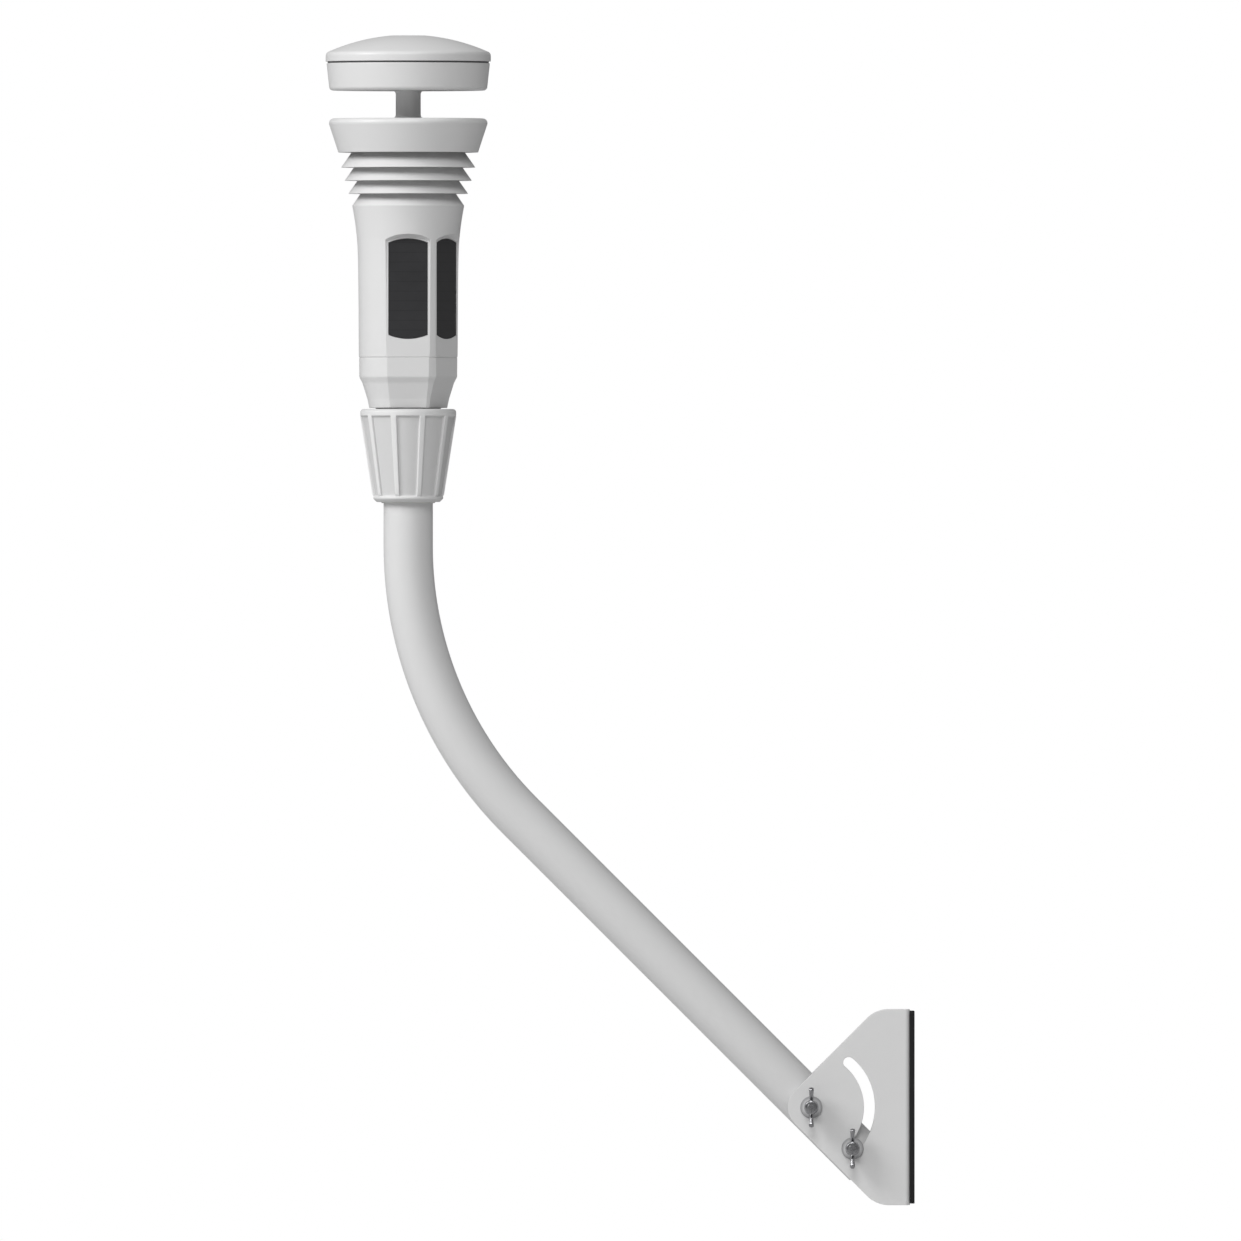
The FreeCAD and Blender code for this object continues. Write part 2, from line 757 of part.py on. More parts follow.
def make_base_shell():
    """Tapered base with the split threaded socket and a spigot on top."""
    body = turned("base_shell", [
        ("0", "base_bore_roof"),
        ("base_bore_r", "base_bore_roof"),
        ("base_bore_r", "base_neck_bottom"),
        ("base_neck_r", "base_neck_bottom"),
        ("base_neck_r", "base_bottom"),
        ("base_foot_r", "base_bottom"),
        ("base_taper_r_a", "base_taper_z_a"),
        ("base_taper_r_b", "base_taper_z_b"),
        ("base_taper_r_c", "base_taper_z_c"),
        ("base_ring_r", "base_ring_z"),
        ("base_ring_r", "seam_z - seam_chamfer"),
        ("base_ring_r - seam_chamfer", "seam_z"),
        ("base_spigot_r", "seam_z"),
        ("base_spigot_r", "seal_z - seal_r"),
        ("base_spigot_r - seal_depth", "seal_z - seal_r"),
        ("base_spigot_r - seal_depth", "seal_z + seal_r"),
        ("base_spigot_r", "seal_z + seal_r"),
        ("base_spigot_r", "base_spigot_top"),
        ("base_cavity_r", "base_spigot_top"),
        ("base_cavity_r", "base_cavity_floor"),
        ("0", "base_cavity_floor"),
    ])
    sketch = new_sketch(body, "YZ_Plane")
    draw(sketch, [
        ("-base_foot_flat", "base_bottom"),
        ("-flat_distance", "base_ring_z"),
        ("-flat_distance", "seam_z"),
        ("-flat_distance - flat_depth", "seam_z"),
        ("-flat_distance - flat_depth", "base_bottom"),
    ])
    cut = extrude(body, "Pocket", sketch, "2 * flat_half_width", both=True)
    around(body, cut, "facet_count", "facet_sweep")
    for plane in ("XZ_Plane", "YZ_Plane"):
        split = new_sketch(body, plane)
        half = "base_slot_width / 2"
        draw_box(split, "-" + half, half, "base_neck_bottom", "base_slot_top")
        extrude(body, "Pocket", split, "cut_through", both=True)
    shelf = new_sketch(body, "XY_Plane", "base_cavity_floor")
    reach = "sqrt(base_cavity_r * base_cavity_r - shelf_front * shelf_front)"
    draw_box(shelf, "-" + reach, reach, "-shelf_front", "-shelf_back")
    extrude(body, "Pad", shelf, "shelf_top - base_cavity_floor")


def make_body_seal():
    """Round rubber ring in the spigot groove."""
    body = new_body("body_seal", STATION)
    sketch = new_sketch(body, "XZ_Plane")
    draw_circle(sketch, "body_cavity_r - seal_r - seal_clear", "seal_z", "seal_r")
    spin(body, "Revolution", sketch)


def make_body_shell():
    """Main shell with four panel facets, flared top and louvred roof."""
    body = turned("body_shell", [
        ("body_cavity_r", "seam_z"),
        ("base_ring_r - seam_chamfer", "seam_z"),
        ("body_r_a", "seam_z + seam_chamfer"),
        ("body_r_b", "body_z_b"),
        ("body_r_c", "body_z_c"),
        ("body_r_d", "body_z_d"),
        ("body_r_e", "body_z_e"),
        ("body_r_f", "body_z_f"),
        ("body_r_g", "body_z_g"),
        ("body_r_g - louvre_slope * (body_top - body_z_g)", "body_top"),
        ("body_cable_r", "body_top"),
        ("body_cable_r", "body_top - body_roof_thick"),
        ("body_cavity_r - body_roof_draft", "body_top - body_roof_thick"),
        ("body_cavity_r", "body_cavity_cone"),
    ])
    flats(body, "seam_z - seam_chamfer", "flat_side_top", "flat_arch_top")
    recess = new_sketch(body, "XZ_Plane", "flat_distance")
    panel_outline(recess, "panel_gap")
    sunk = extrude(body, "Pocket", recess, "panel_recess")
    around(body, sunk, "facet_count", "facet_sweep")
    posts(body, "body_top", "(fin_low_z + fin_rise)")
    post_holes(body, "(body_top - body_roof_thick)", "(fin_low_z + fin_rise)")


def panel_outline(sketch, gap):
    """Draw a panel: straight sides, gently arched ends."""
    half = "(panel_half_width + %s)" % gap
    low, high = "(panel_side_bottom - %s)" % gap, "(panel_side_top + %s)" % gap
    arch_r = "((%s * %s + panel_arch * panel_arch) / (2 * panel_arch))" % (half, half)
    draw(sketch, [
        ("-" + half, low),
        (half, low, "0", "%s - panel_arch + %s" % (low, arch_r), 1),
        (half, high),
        ("-" + half, high, "0", "%s + panel_arch - %s" % (high, arch_r), 1),
    ])


def make_solar_panels():
    """Four dark panels glued in the facets, turned in equal steps."""
    for index in range(int(measure("facet_count"))):
        body = new_body("solar_panel_%d" % (index + 1), STATION)
        bind(body, "Placement.Rotation.Angle", "%d * facet_step" % index)
        sketch = new_sketch(body, "XZ_Plane", "flat_distance - panel_recess")
        panel_outline(sketch, "0")
        extrude(body, "Pad", sketch, "panel_thick")


def make_main_board():
    """Upright circuit board with its processor and radio module."""
    body = new_body("main_board", STATION)
    board = new_sketch(body, "XZ_Plane", "board_front")
    draw_box(board, "-board_half_width", "board_half_width", "shelf_top", "board_top")
    extrude(body, "Pad", board, "board_thick", flip=True)
    chip = new_sketch(body, "XZ_Plane", "board_front")
    half = "board_chip_side / 2"
    draw_box(chip, "-" + half, half, "board_chip_z - " + half, "board_chip_z + " + half)
    extrude(body, "Pad", chip, "board_chip_rise")
    radio = new_sketch(body, "XZ_Plane", "board_front")
    half = "board_radio_width / 2"
    draw_box(radio, "-" + half, half, "board_radio_z", "board_radio_z + board_radio_height")
    extrude(body, "Pad", radio, "board_radio_rise")


def make_battery():
    """Rechargeable round cell standing in its holder."""
    body = new_body("battery", STATION, "cell_y")
    sketch = new_sketch(body, "XZ_Plane")
    draw(sketch, [
        ("0", "cell_bottom"),
        ("cell_r", "cell_bottom"),
        ("cell_r", "cell_top - cell_cap_height"),
        ("cell_cap_r", "cell_top - cell_cap_height"),
        ("cell_cap_r", "cell_top"),
        ("0", "cell_top"),
    ])
    spin(body, "Revolution", sketch)


def make_battery_holder():
    """Moulded cradle on the back of the board, closed at both ends."""
    body = new_body("battery_holder", STATION)
    sketch = new_sketch(body, "XY_Plane", "cell_bottom - holder_end")
    front = "-board_front + board_thick"
    draw_box(sketch, "-holder_half_width", "holder_half_width", front, "holder_back")
    extrude(body, "Pad", sketch, "cell_top - cell_bottom + 2 * holder_end")
    bed = new_sketch(body, "XY_Plane", "cell_bottom")
    draw_circle(bed, "0", "cell_y", "cell_cup_r")
    extrude(body, "Pocket", bed, "cell_top - cell_bottom", flip=True)


def make_antenna():
    """Coiled wire aerial beside the board."""
    body = new_body("antenna", STATION + " + aerial_x", "-aerial_y")
    sketch = new_sketch(body, "XZ_Plane")
    draw_circle(sketch, "aerial_r", "aerial_bottom", "aerial_wire_r")
    coil = body.newObject("PartDesign::AdditiveHelix", "coil")
    coil.Profile = sketch
    coil.ReferenceAxis = (sketch, ["V_Axis"])
    coil.Mode = 0
    bind(coil, "Pitch", "aerial_pitch")
    bind(coil, "Height", "aerial_height")


def make_sensor_harness():
    """Cable from the main board up the middle to the sensor board."""
    body = new_body("sensor_harness", STATION)
    path = new_sketch(body, "YZ_Plane")
    shift = "cable_bend_r * (1 - cos(cable_bend_angle * 1 deg))"
    lift = "cable_bend_r * sin(cable_bend_angle * 1 deg)"
    draw(path, [
        ("-cable_y", "cable_bottom"),
        ("-cable_y", "cable_bend_start"),
        ("-cable_y + " + shift, "cable_bend_start + " + lift,
         "-cable_y + cable_bend_r", "cable_bend_start", -1),
        ("-cable_y + 2 * " + shift, "cable_bend_start + 2 * " + lift,
         "-cable_y + 2 * %s - cable_bend_r" % shift, "cable_bend_start + 2 * " + lift, 1),
        ("-cable_y + 2 * " + shift, "sensor_board_z"),
    ], closed=False)
    section = new_sketch(body, "XY_Plane", "cable_bottom")
    draw_circle(section, "0", "-cable_y", "cable_r")
    sweep(body, section, path)


def make_climate_board():
    """Small board with the temperature and humidity sensor in the louvres."""
    body = new_body("climate_board", STATION + " + climate_x")
    board = new_sketch(body, "YZ_Plane")
    wide = "climate_half_width"
    draw_box(board, "-" + wide, wide, "body_top", "body_top + climate_height")
    extrude(body, "Pad", board, "board_thick")
    chip = new_sketch(body, "YZ_Plane", "board_thick")
    half = "climate_chip / 2"
    draw_box(chip, "-" + half, half, "climate_chip_z - " + half, "climate_chip_z + " + half)
    extrude(body, "Pad", chip, "light_chip_height")


def make_fin(label, low, radius, next_low=None):
    """Conical louvre with a flat ring inside and posts for the next one."""
    ring = "(%s + fin_rise)" % low
    top = "(%s + fin_rise + fin_thick)" % low
    body = turned(label, [
        (radius, low),
        (radius + " - louvre_slope * (fin_rise + fin_thick)", top),
        ("fin_bore_r", top),
        ("fin_bore_r", ring),
        (radius + " - louvre_slope * fin_rise - fin_root", ring),
        (radius + " - fin_edge", low),
    ])
    high = top
    if next_low:
        high = "(%s + fin_rise)" % next_low
        posts(body, top, high)
    post_holes(body, ring, high)


def make_fins():
    """Three louvres, widest at the top."""
    make_fin("fin_lower", "fin_low_z", "fin_low_r", "fin_mid_z")
    make_fin("fin_middle", "fin_mid_z", "fin_mid_r", "fin_high_z")
    make_fin("fin_upper", "fin_high_z", "fin_high_r")


def make_stack_screws():
    """Three long screws from the body roof up into the wind housing."""
    head_low = "(body_top - body_roof_thick - screw_head_height)"
    group = DOC.addObject("Part::Compound", "stack_screws")
    screws = []
    for index in range(int(measure("post_count"))):
        shank = DOC.addObject("Part::Cylinder", "shank")
        head = DOC.addObject("Part::Cylinder", "head")
        bind(shank, "Radius", "screw_r")
        bind(shank, "Height", "screw_top - " + head_low)
        bind(head, "Radius", "screw_head_r")
        bind(head, "Height", "screw_head_height")
        for piece in (shank, head):
            x, y = post_spot(index)
            bind(piece, "Placement.Base.x", "%s + %s" % (STATION, x))
            bind(piece, "Placement.Base.y", y)
            bind(piece, "Placement.Base.z", head_low)
        screw = DOC.addObject("Part::Fuse", "screw")
        screw.Base = shank
        screw.Tool = head
        screws.append(screw)
    group.Links = screws
    group.Label = "stack_screws"
    NODES.append(group)


def make_wind_housing():
    """Widening housing whose top is the sound reflector, open beneath."""
    slope = "((housing_high_r - housing_low_r) / (housing_top - housing_bottom))"
    roof = "(housing_top - housing_roof)"
    inner_high = "housing_high_r - housing_wall - %s * housing_roof" % slope
    body = turned("wind_housing", [
        ("housing_low_r - housing_wall", "housing_bottom"),
        ("housing_low_r", "housing_bottom"),
        ("housing_high_r", "housing_top"),
        ("stem_hole_r", "housing_top"),
        ("stem_hole_r", roof),
        (inner_high, roof),
    ])
    round_rings(body, body.Tip, "housing_round", [("housing_high_r", "housing_top")])
    low = "(fin_high_z + fin_rise + fin_thick)"
    posts(body, low, roof)
    post_holes(body, low, "(screw_top + screw_r)", "screw_hole_r")


def make_neck_post():
    """Hollow stem between housing and tray, flared at both shoulders."""
    flare_r = "(stem_r + stem_flare)"
    turned("neck_post", [
        ("stem_bore_r", "housing_top - housing_roof - stem_spigot_extra"),
        ("stem_spigot_r", "housing_top - housing_roof - stem_spigot_extra"),
        ("stem_spigot_r", "housing_top"),
        (flare_r, "housing_top"),
        ("stem_r", "housing_top + stem_flare", flare_r, "housing_top + stem_flare", -1),
        ("stem_r", "tray_bottom - stem_flare"),
        (flare_r, "tray_bottom", flare_r, "tray_bottom - stem_flare", -1),
        ("stem_spigot_r", "tray_bottom"),
        ("stem_spigot_r", "tray_bottom + tray_floor + stem_spigot_extra"),
        ("stem_bore_r", "tray_bottom + tray_floor + stem_spigot_extra"),
    ])


def make_neck_nuts():
    """Two thin nuts clamping the stem, one under the housing, one in the tray."""
    lows = ("housing_top - housing_roof - stem_nut_height", "tray_bottom + tray_floor")
    nuts = []
    for low in lows:
        blank = DOC.addObject("Part::Prism", "blank")
        blank.Polygon = 6
        bind(blank, "Circumradius", "stem_nut_r")
        bind(blank, "Height", "stem_nut_height")
        bore = DOC.addObject("Part::Cylinder", "bore")
        bind(bore, "Radius", "stem_hole_r")
        bind(bore, "Height", "stem_nut_height")
        for piece in (blank, bore):
            bind(piece, "Placement.Base.x", STATION)
            bind(piece, "Placement.Base.z", low)
        nut = DOC.addObject("Part::Cut", "nut")
        nut.Base = blank
        nut.Tool = bore
        nuts.append(nut)
    group = DOC.addObject("Part::Compound", "neck_nuts")
    group.Links = nuts
    group.Label = "neck_nuts"
    NODES.append(group)


def make_tray():
    """Shallow tray carrying the sounders, closed above by the cap."""
    slope = "((tray_high_r - tray_low_r) / (tray_top - tray_bottom))"
    floor = "(tray_bottom + tray_floor)"
    body = turned("tray", [
        ("stem_hole_r", "tray_bottom"),
        ("tray_low_r", "tray_bottom"),
        ("tray_high_r", "tray_top"),
        ("tray_high_r - tray_wall", "tray_top"),
        ("tray_low_r - tray_wall + %s * tray_floor" % slope, floor),
        ("stem_hole_r", floor),
    ])
    round_rings(body, body.Tip, "tray_round", [("tray_low_r", "tray_bottom")])
    holes = new_sketch(body, "XY_Plane", "tray_bottom")
    for index in range(int(measure("sounder_count"))):
        draw_circle(holes, *sounder_spot(index), "sounder_hole_r")
    extrude(body, "Pocket", holes, "tray_floor", flip=True)


def sounder_spot(index):
    """Give the x and y of one sounder."""
    angle = "((%d * 360 / sounder_count + sounder_start_angle) * 1 deg)" % index
    return "sounder_circle * cos%s" % angle, "sounder_circle * sin%s" % angle


def make_wind_sounders():
    """Four ultrasonic sounders facing down through the tray floor."""
    cans = []
    for index in range(int(measure("sounder_count"))):
        x, y = sounder_spot(index)
        can = DOC.addObject("Part::Cylinder", "can")
        rim = DOC.addObject("Part::Cylinder", "rim")
        bind(can, "Radius", "sounder_r")
        bind(can, "Height", "sensor_board_z - tray_bottom - sounder_set_back")
        bind(rim, "Radius", "sounder_flange_r")
        bind(rim, "Height", "sounder_flange_thick")
        for piece in (can, rim):
            bind(piece, "Placement.Base.x", "%s + %s" % (STATION, x))
            bind(piece, "Placement.Base.y", y)
        bind(can, "Placement.Base.z", "tray_bottom + sounder_set_back")
        bind(rim, "Placement.Base.z", "tray_bottom + tray_floor")
        sounder = DOC.addObject("Part::Fuse", "sounder")
        sounder.Base = can
        sounder.Tool = rim
        cans.append(sounder)
    group = DOC.addObject("Part::Compound", "wind_sounders")
    group.Links = cans
    group.Label = "wind_sounders"
    NODES.append(group)


def make_sensor_board():
    """Round board on the sounders with the light sensor in the middle."""
    body = turned("sensor_board", [
        ("0", "sensor_board_z"),
        ("sensor_board_r", "sensor_board_z"),
        ("sensor_board_r", "sensor_board_z + board_thick"),
        ("0", "sensor_board_z + board_thick"),
    ])
    chips = new_sketch(body, "XY_Plane", "sensor_board_z + board_thick")
    half = "light_chip_side / 2"
    draw_box(chips, "-" + half, half, "-" + half, half)
    wide = "sensor_chip_side / 2"
    draw_box(chips, "sensor_chip_x - " + wide, "sensor_chip_x + " + wide, "-" + wide, wide)
    extrude(body, "Pad", chips, "light_chip_height")


def make_cap_gasket():
    """Dark gasket in the joint between tray and cap."""
    turned("cap_gasket", [
        ("gasket_inner_r", "tray_top"),
        ("gasket_outer_r", "tray_top"),
        ("gasket_outer_r", "cap_bottom"),
        ("gasket_inner_r", "cap_bottom"),
    ])


def dome_height(radius, dome):
    """Give the height of the dome surface over a radius."""
    return "(cap_apex - cap_dome_r + sqrt(%s * %s - %s * %s))" % (dome, dome, radius, radius)


def make_cap():
    """Domed cap that the rain strikes, stepped for the light window."""
    centre = "cap_apex - cap_dome_r"
    inner_r, inner_dome = "(cap_side_r - cap_wall)", "(cap_dome_r - cap_wall)"
    top = dome_height("window_r", "cap_dome_r")
    body = turned("cap", [
        ("window_r", top + " - window_step"),
        ("window_throat_r", top + " - window_step"),
        ("window_throat_r", "rain_boss_bottom"),
        ("rain_boss_outer_r", "rain_boss_bottom"),
        ("rain_boss_outer_r", dome_height("rain_boss_outer_r", inner_dome)),
        (inner_r, dome_height(inner_r, inner_dome), "0", centre, -1),
        (inner_r, "cap_bottom"),
        ("cap_side_r", "cap_bottom"),
        ("cap_side_r", dome_height("cap_side_r", "cap_dome_r")),
        ("window_r", top, "0", centre, 1),
    ])
    shoulder = ("cap_side_r", dome_height("cap_side_r", "cap_dome_r"))
    round_rings(body, body.Tip, "cap_round", [shoulder])


def make_rain_disc():
    """Thin ring that senses drops, glued under the cap."""
    turned("rain_disc", [
        ("rain_boss_inner_r", "rain_boss_bottom - rain_disc_thick"),
        ("rain_disc_outer_r", "rain_boss_bottom - rain_disc_thick"),
        ("rain_disc_outer_r", "rain_boss_bottom"),
        ("rain_boss_inner_r", "rain_boss_bottom"),
    ])


def make_light_diffuser():
    """Stepped translucent window in the middle of the cap."""
    top = dome_height("window_r", "cap_dome_r")
    turned("light_diffuser", [
        ("0", top),
        ("window_r - window_clear", top),
        ("window_r - window_clear", top + " - window_step"),
        ("window_plug_r", top + " - window_step"),
        ("window_plug_r", top + " - window_depth"),
        ("0", top + " - window_depth"),
    ])


def make_all():
    """Build every piece."""
    make_wall_pad()
    make_wall_bracket()
    for name, x, z in (("pivot", "-pivot_out", "0"), ("slot", SLOT_BOLT_X, SLOT_BOLT_Z)):
        make_bolt(name + "_bolt", x, z)
        make_washer(name + "_washer", x, z)
        make_wing_nut(name + "_wing_nut", x, z)
    make_arm_tube()
    make_pole_sleeve()
    make_compression_ring()
    make_lock_collar()
    make_base_shell()
    make_body_seal()
    make_body_shell()
    make_solar_panels()
    make_main_board()
    make_battery()
    make_battery_holder()
    make_antenna()
    make_sensor_harness()
    make_climate_board()
    make_fins()
    make_stack_screws()
    make_wind_housing()
    make_neck_post()
    make_neck_nuts()
    make_tray()
    make_wind_sounders()
    make_sensor_board()
    make_cap_gasket()
    make_cap()
    make_rain_disc()
    make_light_diffuser()


def check_all():
    """Stop if any object failed or any piece is empty or unsound."""
    for item in DOC.Objects:
        states = set(item.State) & {"Invalid", "Error"}
        if states:
            raise RuntimeError("%s is %s" % (item.Name, sorted(states)))
    for node in NODES:
        if node.Shape.isNull() or not node.Shape.isValid():
            raise RuntimeError("%s has no sound shape" % node.Label)


def write_all():
    """Write one file for each piece."""
    os.makedirs("parts", exist_ok=True)
    for node in NODES:
        node.Shape.exportStep("parts/%s.step" % node.Label)
        print("%-20s %10.1f mm3" % (node.Label, node.Shape.Volume))


DOC = FreeCAD.newDocument("weather_station")
SHEET = make_sheet(DOC)
make_all()
DOC.recompute()
check_all()
write_all()
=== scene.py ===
import math

import bmesh
import bpy
from mathutils import Matrix, Vector


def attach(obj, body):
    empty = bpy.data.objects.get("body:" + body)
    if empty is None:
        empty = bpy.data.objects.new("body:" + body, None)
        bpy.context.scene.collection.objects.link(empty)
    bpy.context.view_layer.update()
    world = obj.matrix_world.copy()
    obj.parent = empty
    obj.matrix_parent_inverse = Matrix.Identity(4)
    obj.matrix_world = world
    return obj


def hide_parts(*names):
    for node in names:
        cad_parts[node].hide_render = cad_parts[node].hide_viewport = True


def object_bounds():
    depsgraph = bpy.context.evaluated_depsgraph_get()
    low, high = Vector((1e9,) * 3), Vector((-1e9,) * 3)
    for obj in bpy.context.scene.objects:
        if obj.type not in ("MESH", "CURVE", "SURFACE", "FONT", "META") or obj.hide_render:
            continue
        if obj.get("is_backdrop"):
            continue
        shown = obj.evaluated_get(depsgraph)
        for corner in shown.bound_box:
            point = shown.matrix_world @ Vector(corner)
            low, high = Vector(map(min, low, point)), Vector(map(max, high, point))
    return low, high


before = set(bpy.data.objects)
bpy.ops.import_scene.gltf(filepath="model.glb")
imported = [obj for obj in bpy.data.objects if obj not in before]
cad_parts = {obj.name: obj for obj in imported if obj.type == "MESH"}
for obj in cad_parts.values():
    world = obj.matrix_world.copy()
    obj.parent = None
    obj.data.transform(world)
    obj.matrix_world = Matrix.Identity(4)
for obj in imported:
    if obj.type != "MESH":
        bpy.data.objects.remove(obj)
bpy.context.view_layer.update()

# ---------------------------------------------------------------- wall pad
# Black rubber pad that keeps water and rattle out between bracket and wall.
# Die cut from 3 mm sheet, with the same four screw holes as the steel web.

MM = 0.001


class Flow:
    """A value running through a finish: sums and products of it add Math nodes."""

    def __init__(self, finish, socket):
        self.finish = finish
        self.socket = socket

    def maths(self, operation, first, second):
        settings = {"operation": operation}
        return self.finish.node("ShaderNodeMath", settings, {0: first, 1: second})

    def __add__(self, other):
        return self.maths("ADD", self, other)

    def __radd__(self, other):
        return self.maths("ADD", other, self)

    def __sub__(self, other):
        return self.maths("SUBTRACT", self, other)

    def __mul__(self, other):
        return self.maths("MULTIPLY", self, other)

    def __rmul__(self, other):
        return self.maths("MULTIPLY", other, self)

    def __truediv__(self, other):
        return self.maths("DIVIDE", self, other)


class Finish:
    """A procedural material: constants go on the shader, flows vary over it."""

    def __init__(self, name, **constants):
        self.material = bpy.data.materials.new(name)
        self.material.use_nodes = True
        self.tree = self.material.node_tree
        self.shader = self.tree.nodes["Principled BSDF"]
        for socket, value in constants.items():
            self.shader.inputs[socket.replace("_", " ")].default_value = value
        self.spot = self.node("ShaderNodeTexCoord", {}, {}, "Object")

    def node(self, kind, settings, values, output=0):
        """Add a node, set it up first, then feed its sockets numbers or flows."""
        made = self.tree.nodes.new(kind)
        for name, setting in settings.items():
            if name == "stops":
                for stop, (place, shade) in zip(made.color_ramp.elements, setting):
                    stop.position = place
                    stop.color = (shade, shade, shade, 1)
            else:
                setattr(made, name, setting)
        for name, value in values.items():
            if isinstance(value, Flow):
                self.tree.links.new(value.socket, made.inputs[name])
            else:
                made.inputs[name].default_value = value
        return Flow(self, made.outputs[output])

    def scaled(self, factors):
        """The place on the piece, multiplied along each axis."""
        settings, values = {"operation": "MULTIPLY"}, {0: self.spot, 1: factors}
        return self.node("ShaderNodeVectorMath", settings, values)

    def reach(self, factors):
        """Distance from the middle of the piece along the axes that count."""
        settings, values = {"operation": "LENGTH"}, {0: self.scaled(factors)}
        return self.node("ShaderNodeVectorMath", settings, values, "Value")

    def along(self, axis):
        """Distance from the middle of the piece along one axis."""
        return self.node("ShaderNodeSeparateXYZ", {}, {0: self.spot}, axis)

    def noise(self, scale, detail=3.0, roughness=0.5, stretch=(1, 1, 1)):
        """Cloudy noise from 0 to 1, scale in lumps to the metre."""
        values = {"Vector": self.scaled(stretch), "Scale": scale}
        values.update({"Detail": detail, "Roughness": roughness})
        return self.node("ShaderNodeTexNoise", {}, values)

    def ramp(self, value, low, high):
        """Stretch the band of a flow between low and high to 0 and 1."""
        stops = ((low, 0.0), (high, 1.0))
        return self.node("ShaderNodeValToRGB", {"stops": stops}, {0: value})

    def blend(self, factor, first, second):
        """Mix two colours by a flow."""
        colours = [c if isinstance(c, Flow) else (*c, 1.0) for c in (first, second)]
        values = {0: factor, 6: colours[0], 7: colours[1]}
        return self.node("ShaderNodeMix", {"data_type": "RGBA"}, values, 2)

    def bump(self, height, depth, strength=1.0, under=None):
        """Raise the surface by a flow, depth in metres for a height of 1."""
        values = {"Height": height, "Distance": depth, "Strength": strength}
        if under:
            values["Normal"] = under
        return self.node("ShaderNodeBump", {}, values)

    def feed(self, **flows):
        """Link flows to the shader's varying sockets."""
        for socket, flow in flows.items():
            self.tree.links.new(flow.socket, self.shader.inputs[socket.replace("_", " ")])
        return self


def soften(corners, grain=12.0):
    """Round each corner (x, y, radius) of a closed outline into a fine arc."""
    points = []
    for index, (x, y, radius) in enumerate(corners):
        here = Vector((x, y))
        if radius <= 0:
            points.append(here)
            continue
        back = Vector(corners[index - 1][:2]) - here
        on = Vector(corners[(index + 1) % len(corners)][:2]) - here
        turn = math.pi - back.angle(on)
        reach = min(radius * math.tan(turn / 2), 0.47 * back.length, 0.47 * on.length)
        radius = reach / math.tan(turn / 2)
        back.normalize()
        on.normalize()
        centre = here + (back + on).normalized() * (radius / math.cos(turn / 2))
        spoke = here + back * reach - centre
        sign = 1 if spoke.x * (here - centre).y - spoke.y * (here - centre).x > 0 else -1
        guard = min(0.12, 0.3 * reach)
        points.append(here + back * (reach + guard))
        steps = max(2, math.ceil(math.degrees(turn) / grain))
        for step in range(steps + 1):
            angle = sign * turn * step / steps
            c, s = math.cos(angle), math.sin(angle)
            points.append(centre + Vector((c * spoke.x - s * spoke.y, s * spoke.x + c * spoke.y)))
        points.append(here + on * (reach + guard))
    return points


def circle(x, y, radius, count=48):
    """Points of a circle, for a hole in a plate."""
    angles = [math.tau * k / count for k in range(count)]
    return [Vector((x + radius * math.cos(a), y + radius * math.sin(a))) for a in angles]


def plate(outlines, thick, edge):
    """Fill outlines (first the rim, then the holes) to a plate with rounded edges."""
    curve = bpy.data.curves.new("plate", "CURVE")
    curve.dimensions = "2D"
    curve.fill_mode = "BOTH"
    curve.extrude = (thick / 2 - edge) * MM
    curve.bevel_depth = edge * MM
    curve.bevel_resolution = 1
    curve.offset = -edge * MM
    for outline in outlines:
        spline = curve.splines.new("POLY")
        spline.points.add(len(outline) - 1)
        for point, spot in zip(spline.points, outline):
            point.co = (spot.x * MM, spot.y * MM, 0, 1)
        spline.use_cyclic_u = True
    holder = bpy.data.objects.new("plate", curve)
    bpy.context.scene.collection.objects.link(holder)
    flat = bpy.data.meshes.new_from_object(holder)
    bpy.data.objects.remove(holder)
    made = bmesh.new()
    made.from_mesh(flat)
    bpy.data.meshes.remove(flat)
    bmesh.ops.remove_doubles(made, verts=made.verts, dist=1e-7)
    bmesh.ops.recalc_face_normals(made, faces=made.faces)
    return made


def stand(made, turn):
    """Turn a mesh in place: turn is a matrix."""
    bmesh.ops.transform(made, matrix=turn, verts=made.verts)
    return made


def piece(name, made, finish, body=None, nodes=(), at=(0, 0, 0), crease=35):
    """Make a mesh a named piece, give it its finish and let it ride on its body."""
    mesh = bpy.data.meshes.new(name)
    made.to_mesh(mesh)
    made.free()
    mesh.polygons.foreach_set("use_smooth", [True] * len(mesh.polygons))
    mesh.set_sharp_from_angle(angle=math.radians(crease))
    mesh.materials.append(finish.material)
    thing = bpy.data.objects.new(name, mesh)
    bpy.context.scene.collection.objects.link(thing)
    thing.location = Vector(at) * MM
    bpy.context.view_layer.update()
    if body:
        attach(thing, body)
    if nodes:
        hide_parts(*nodes)
    return thing


def even(thing):
    """Let large flat faces set the shading beside their rounded edges."""
    weigh = thing.modifiers.new("even", "WEIGHTED_NORMAL")
    weigh.keep_sharp = True
    weigh.weight = 80
    return thing


rubber = Finish("pad_rubber", Specular_IOR_Level=0.2)
grit = rubber.noise(2600, 4, 0.6)
bloom = rubber.noise(45, 3)
rubber.feed(
    Base_Color=rubber.blend(bloom, (0.008, 0.008, 0.009), (0.016, 0.016, 0.017)),
    Roughness=0.62 + 0.2 * bloom,
    Normal=rubber.bump(grit, 0.00006, 0.6),
)

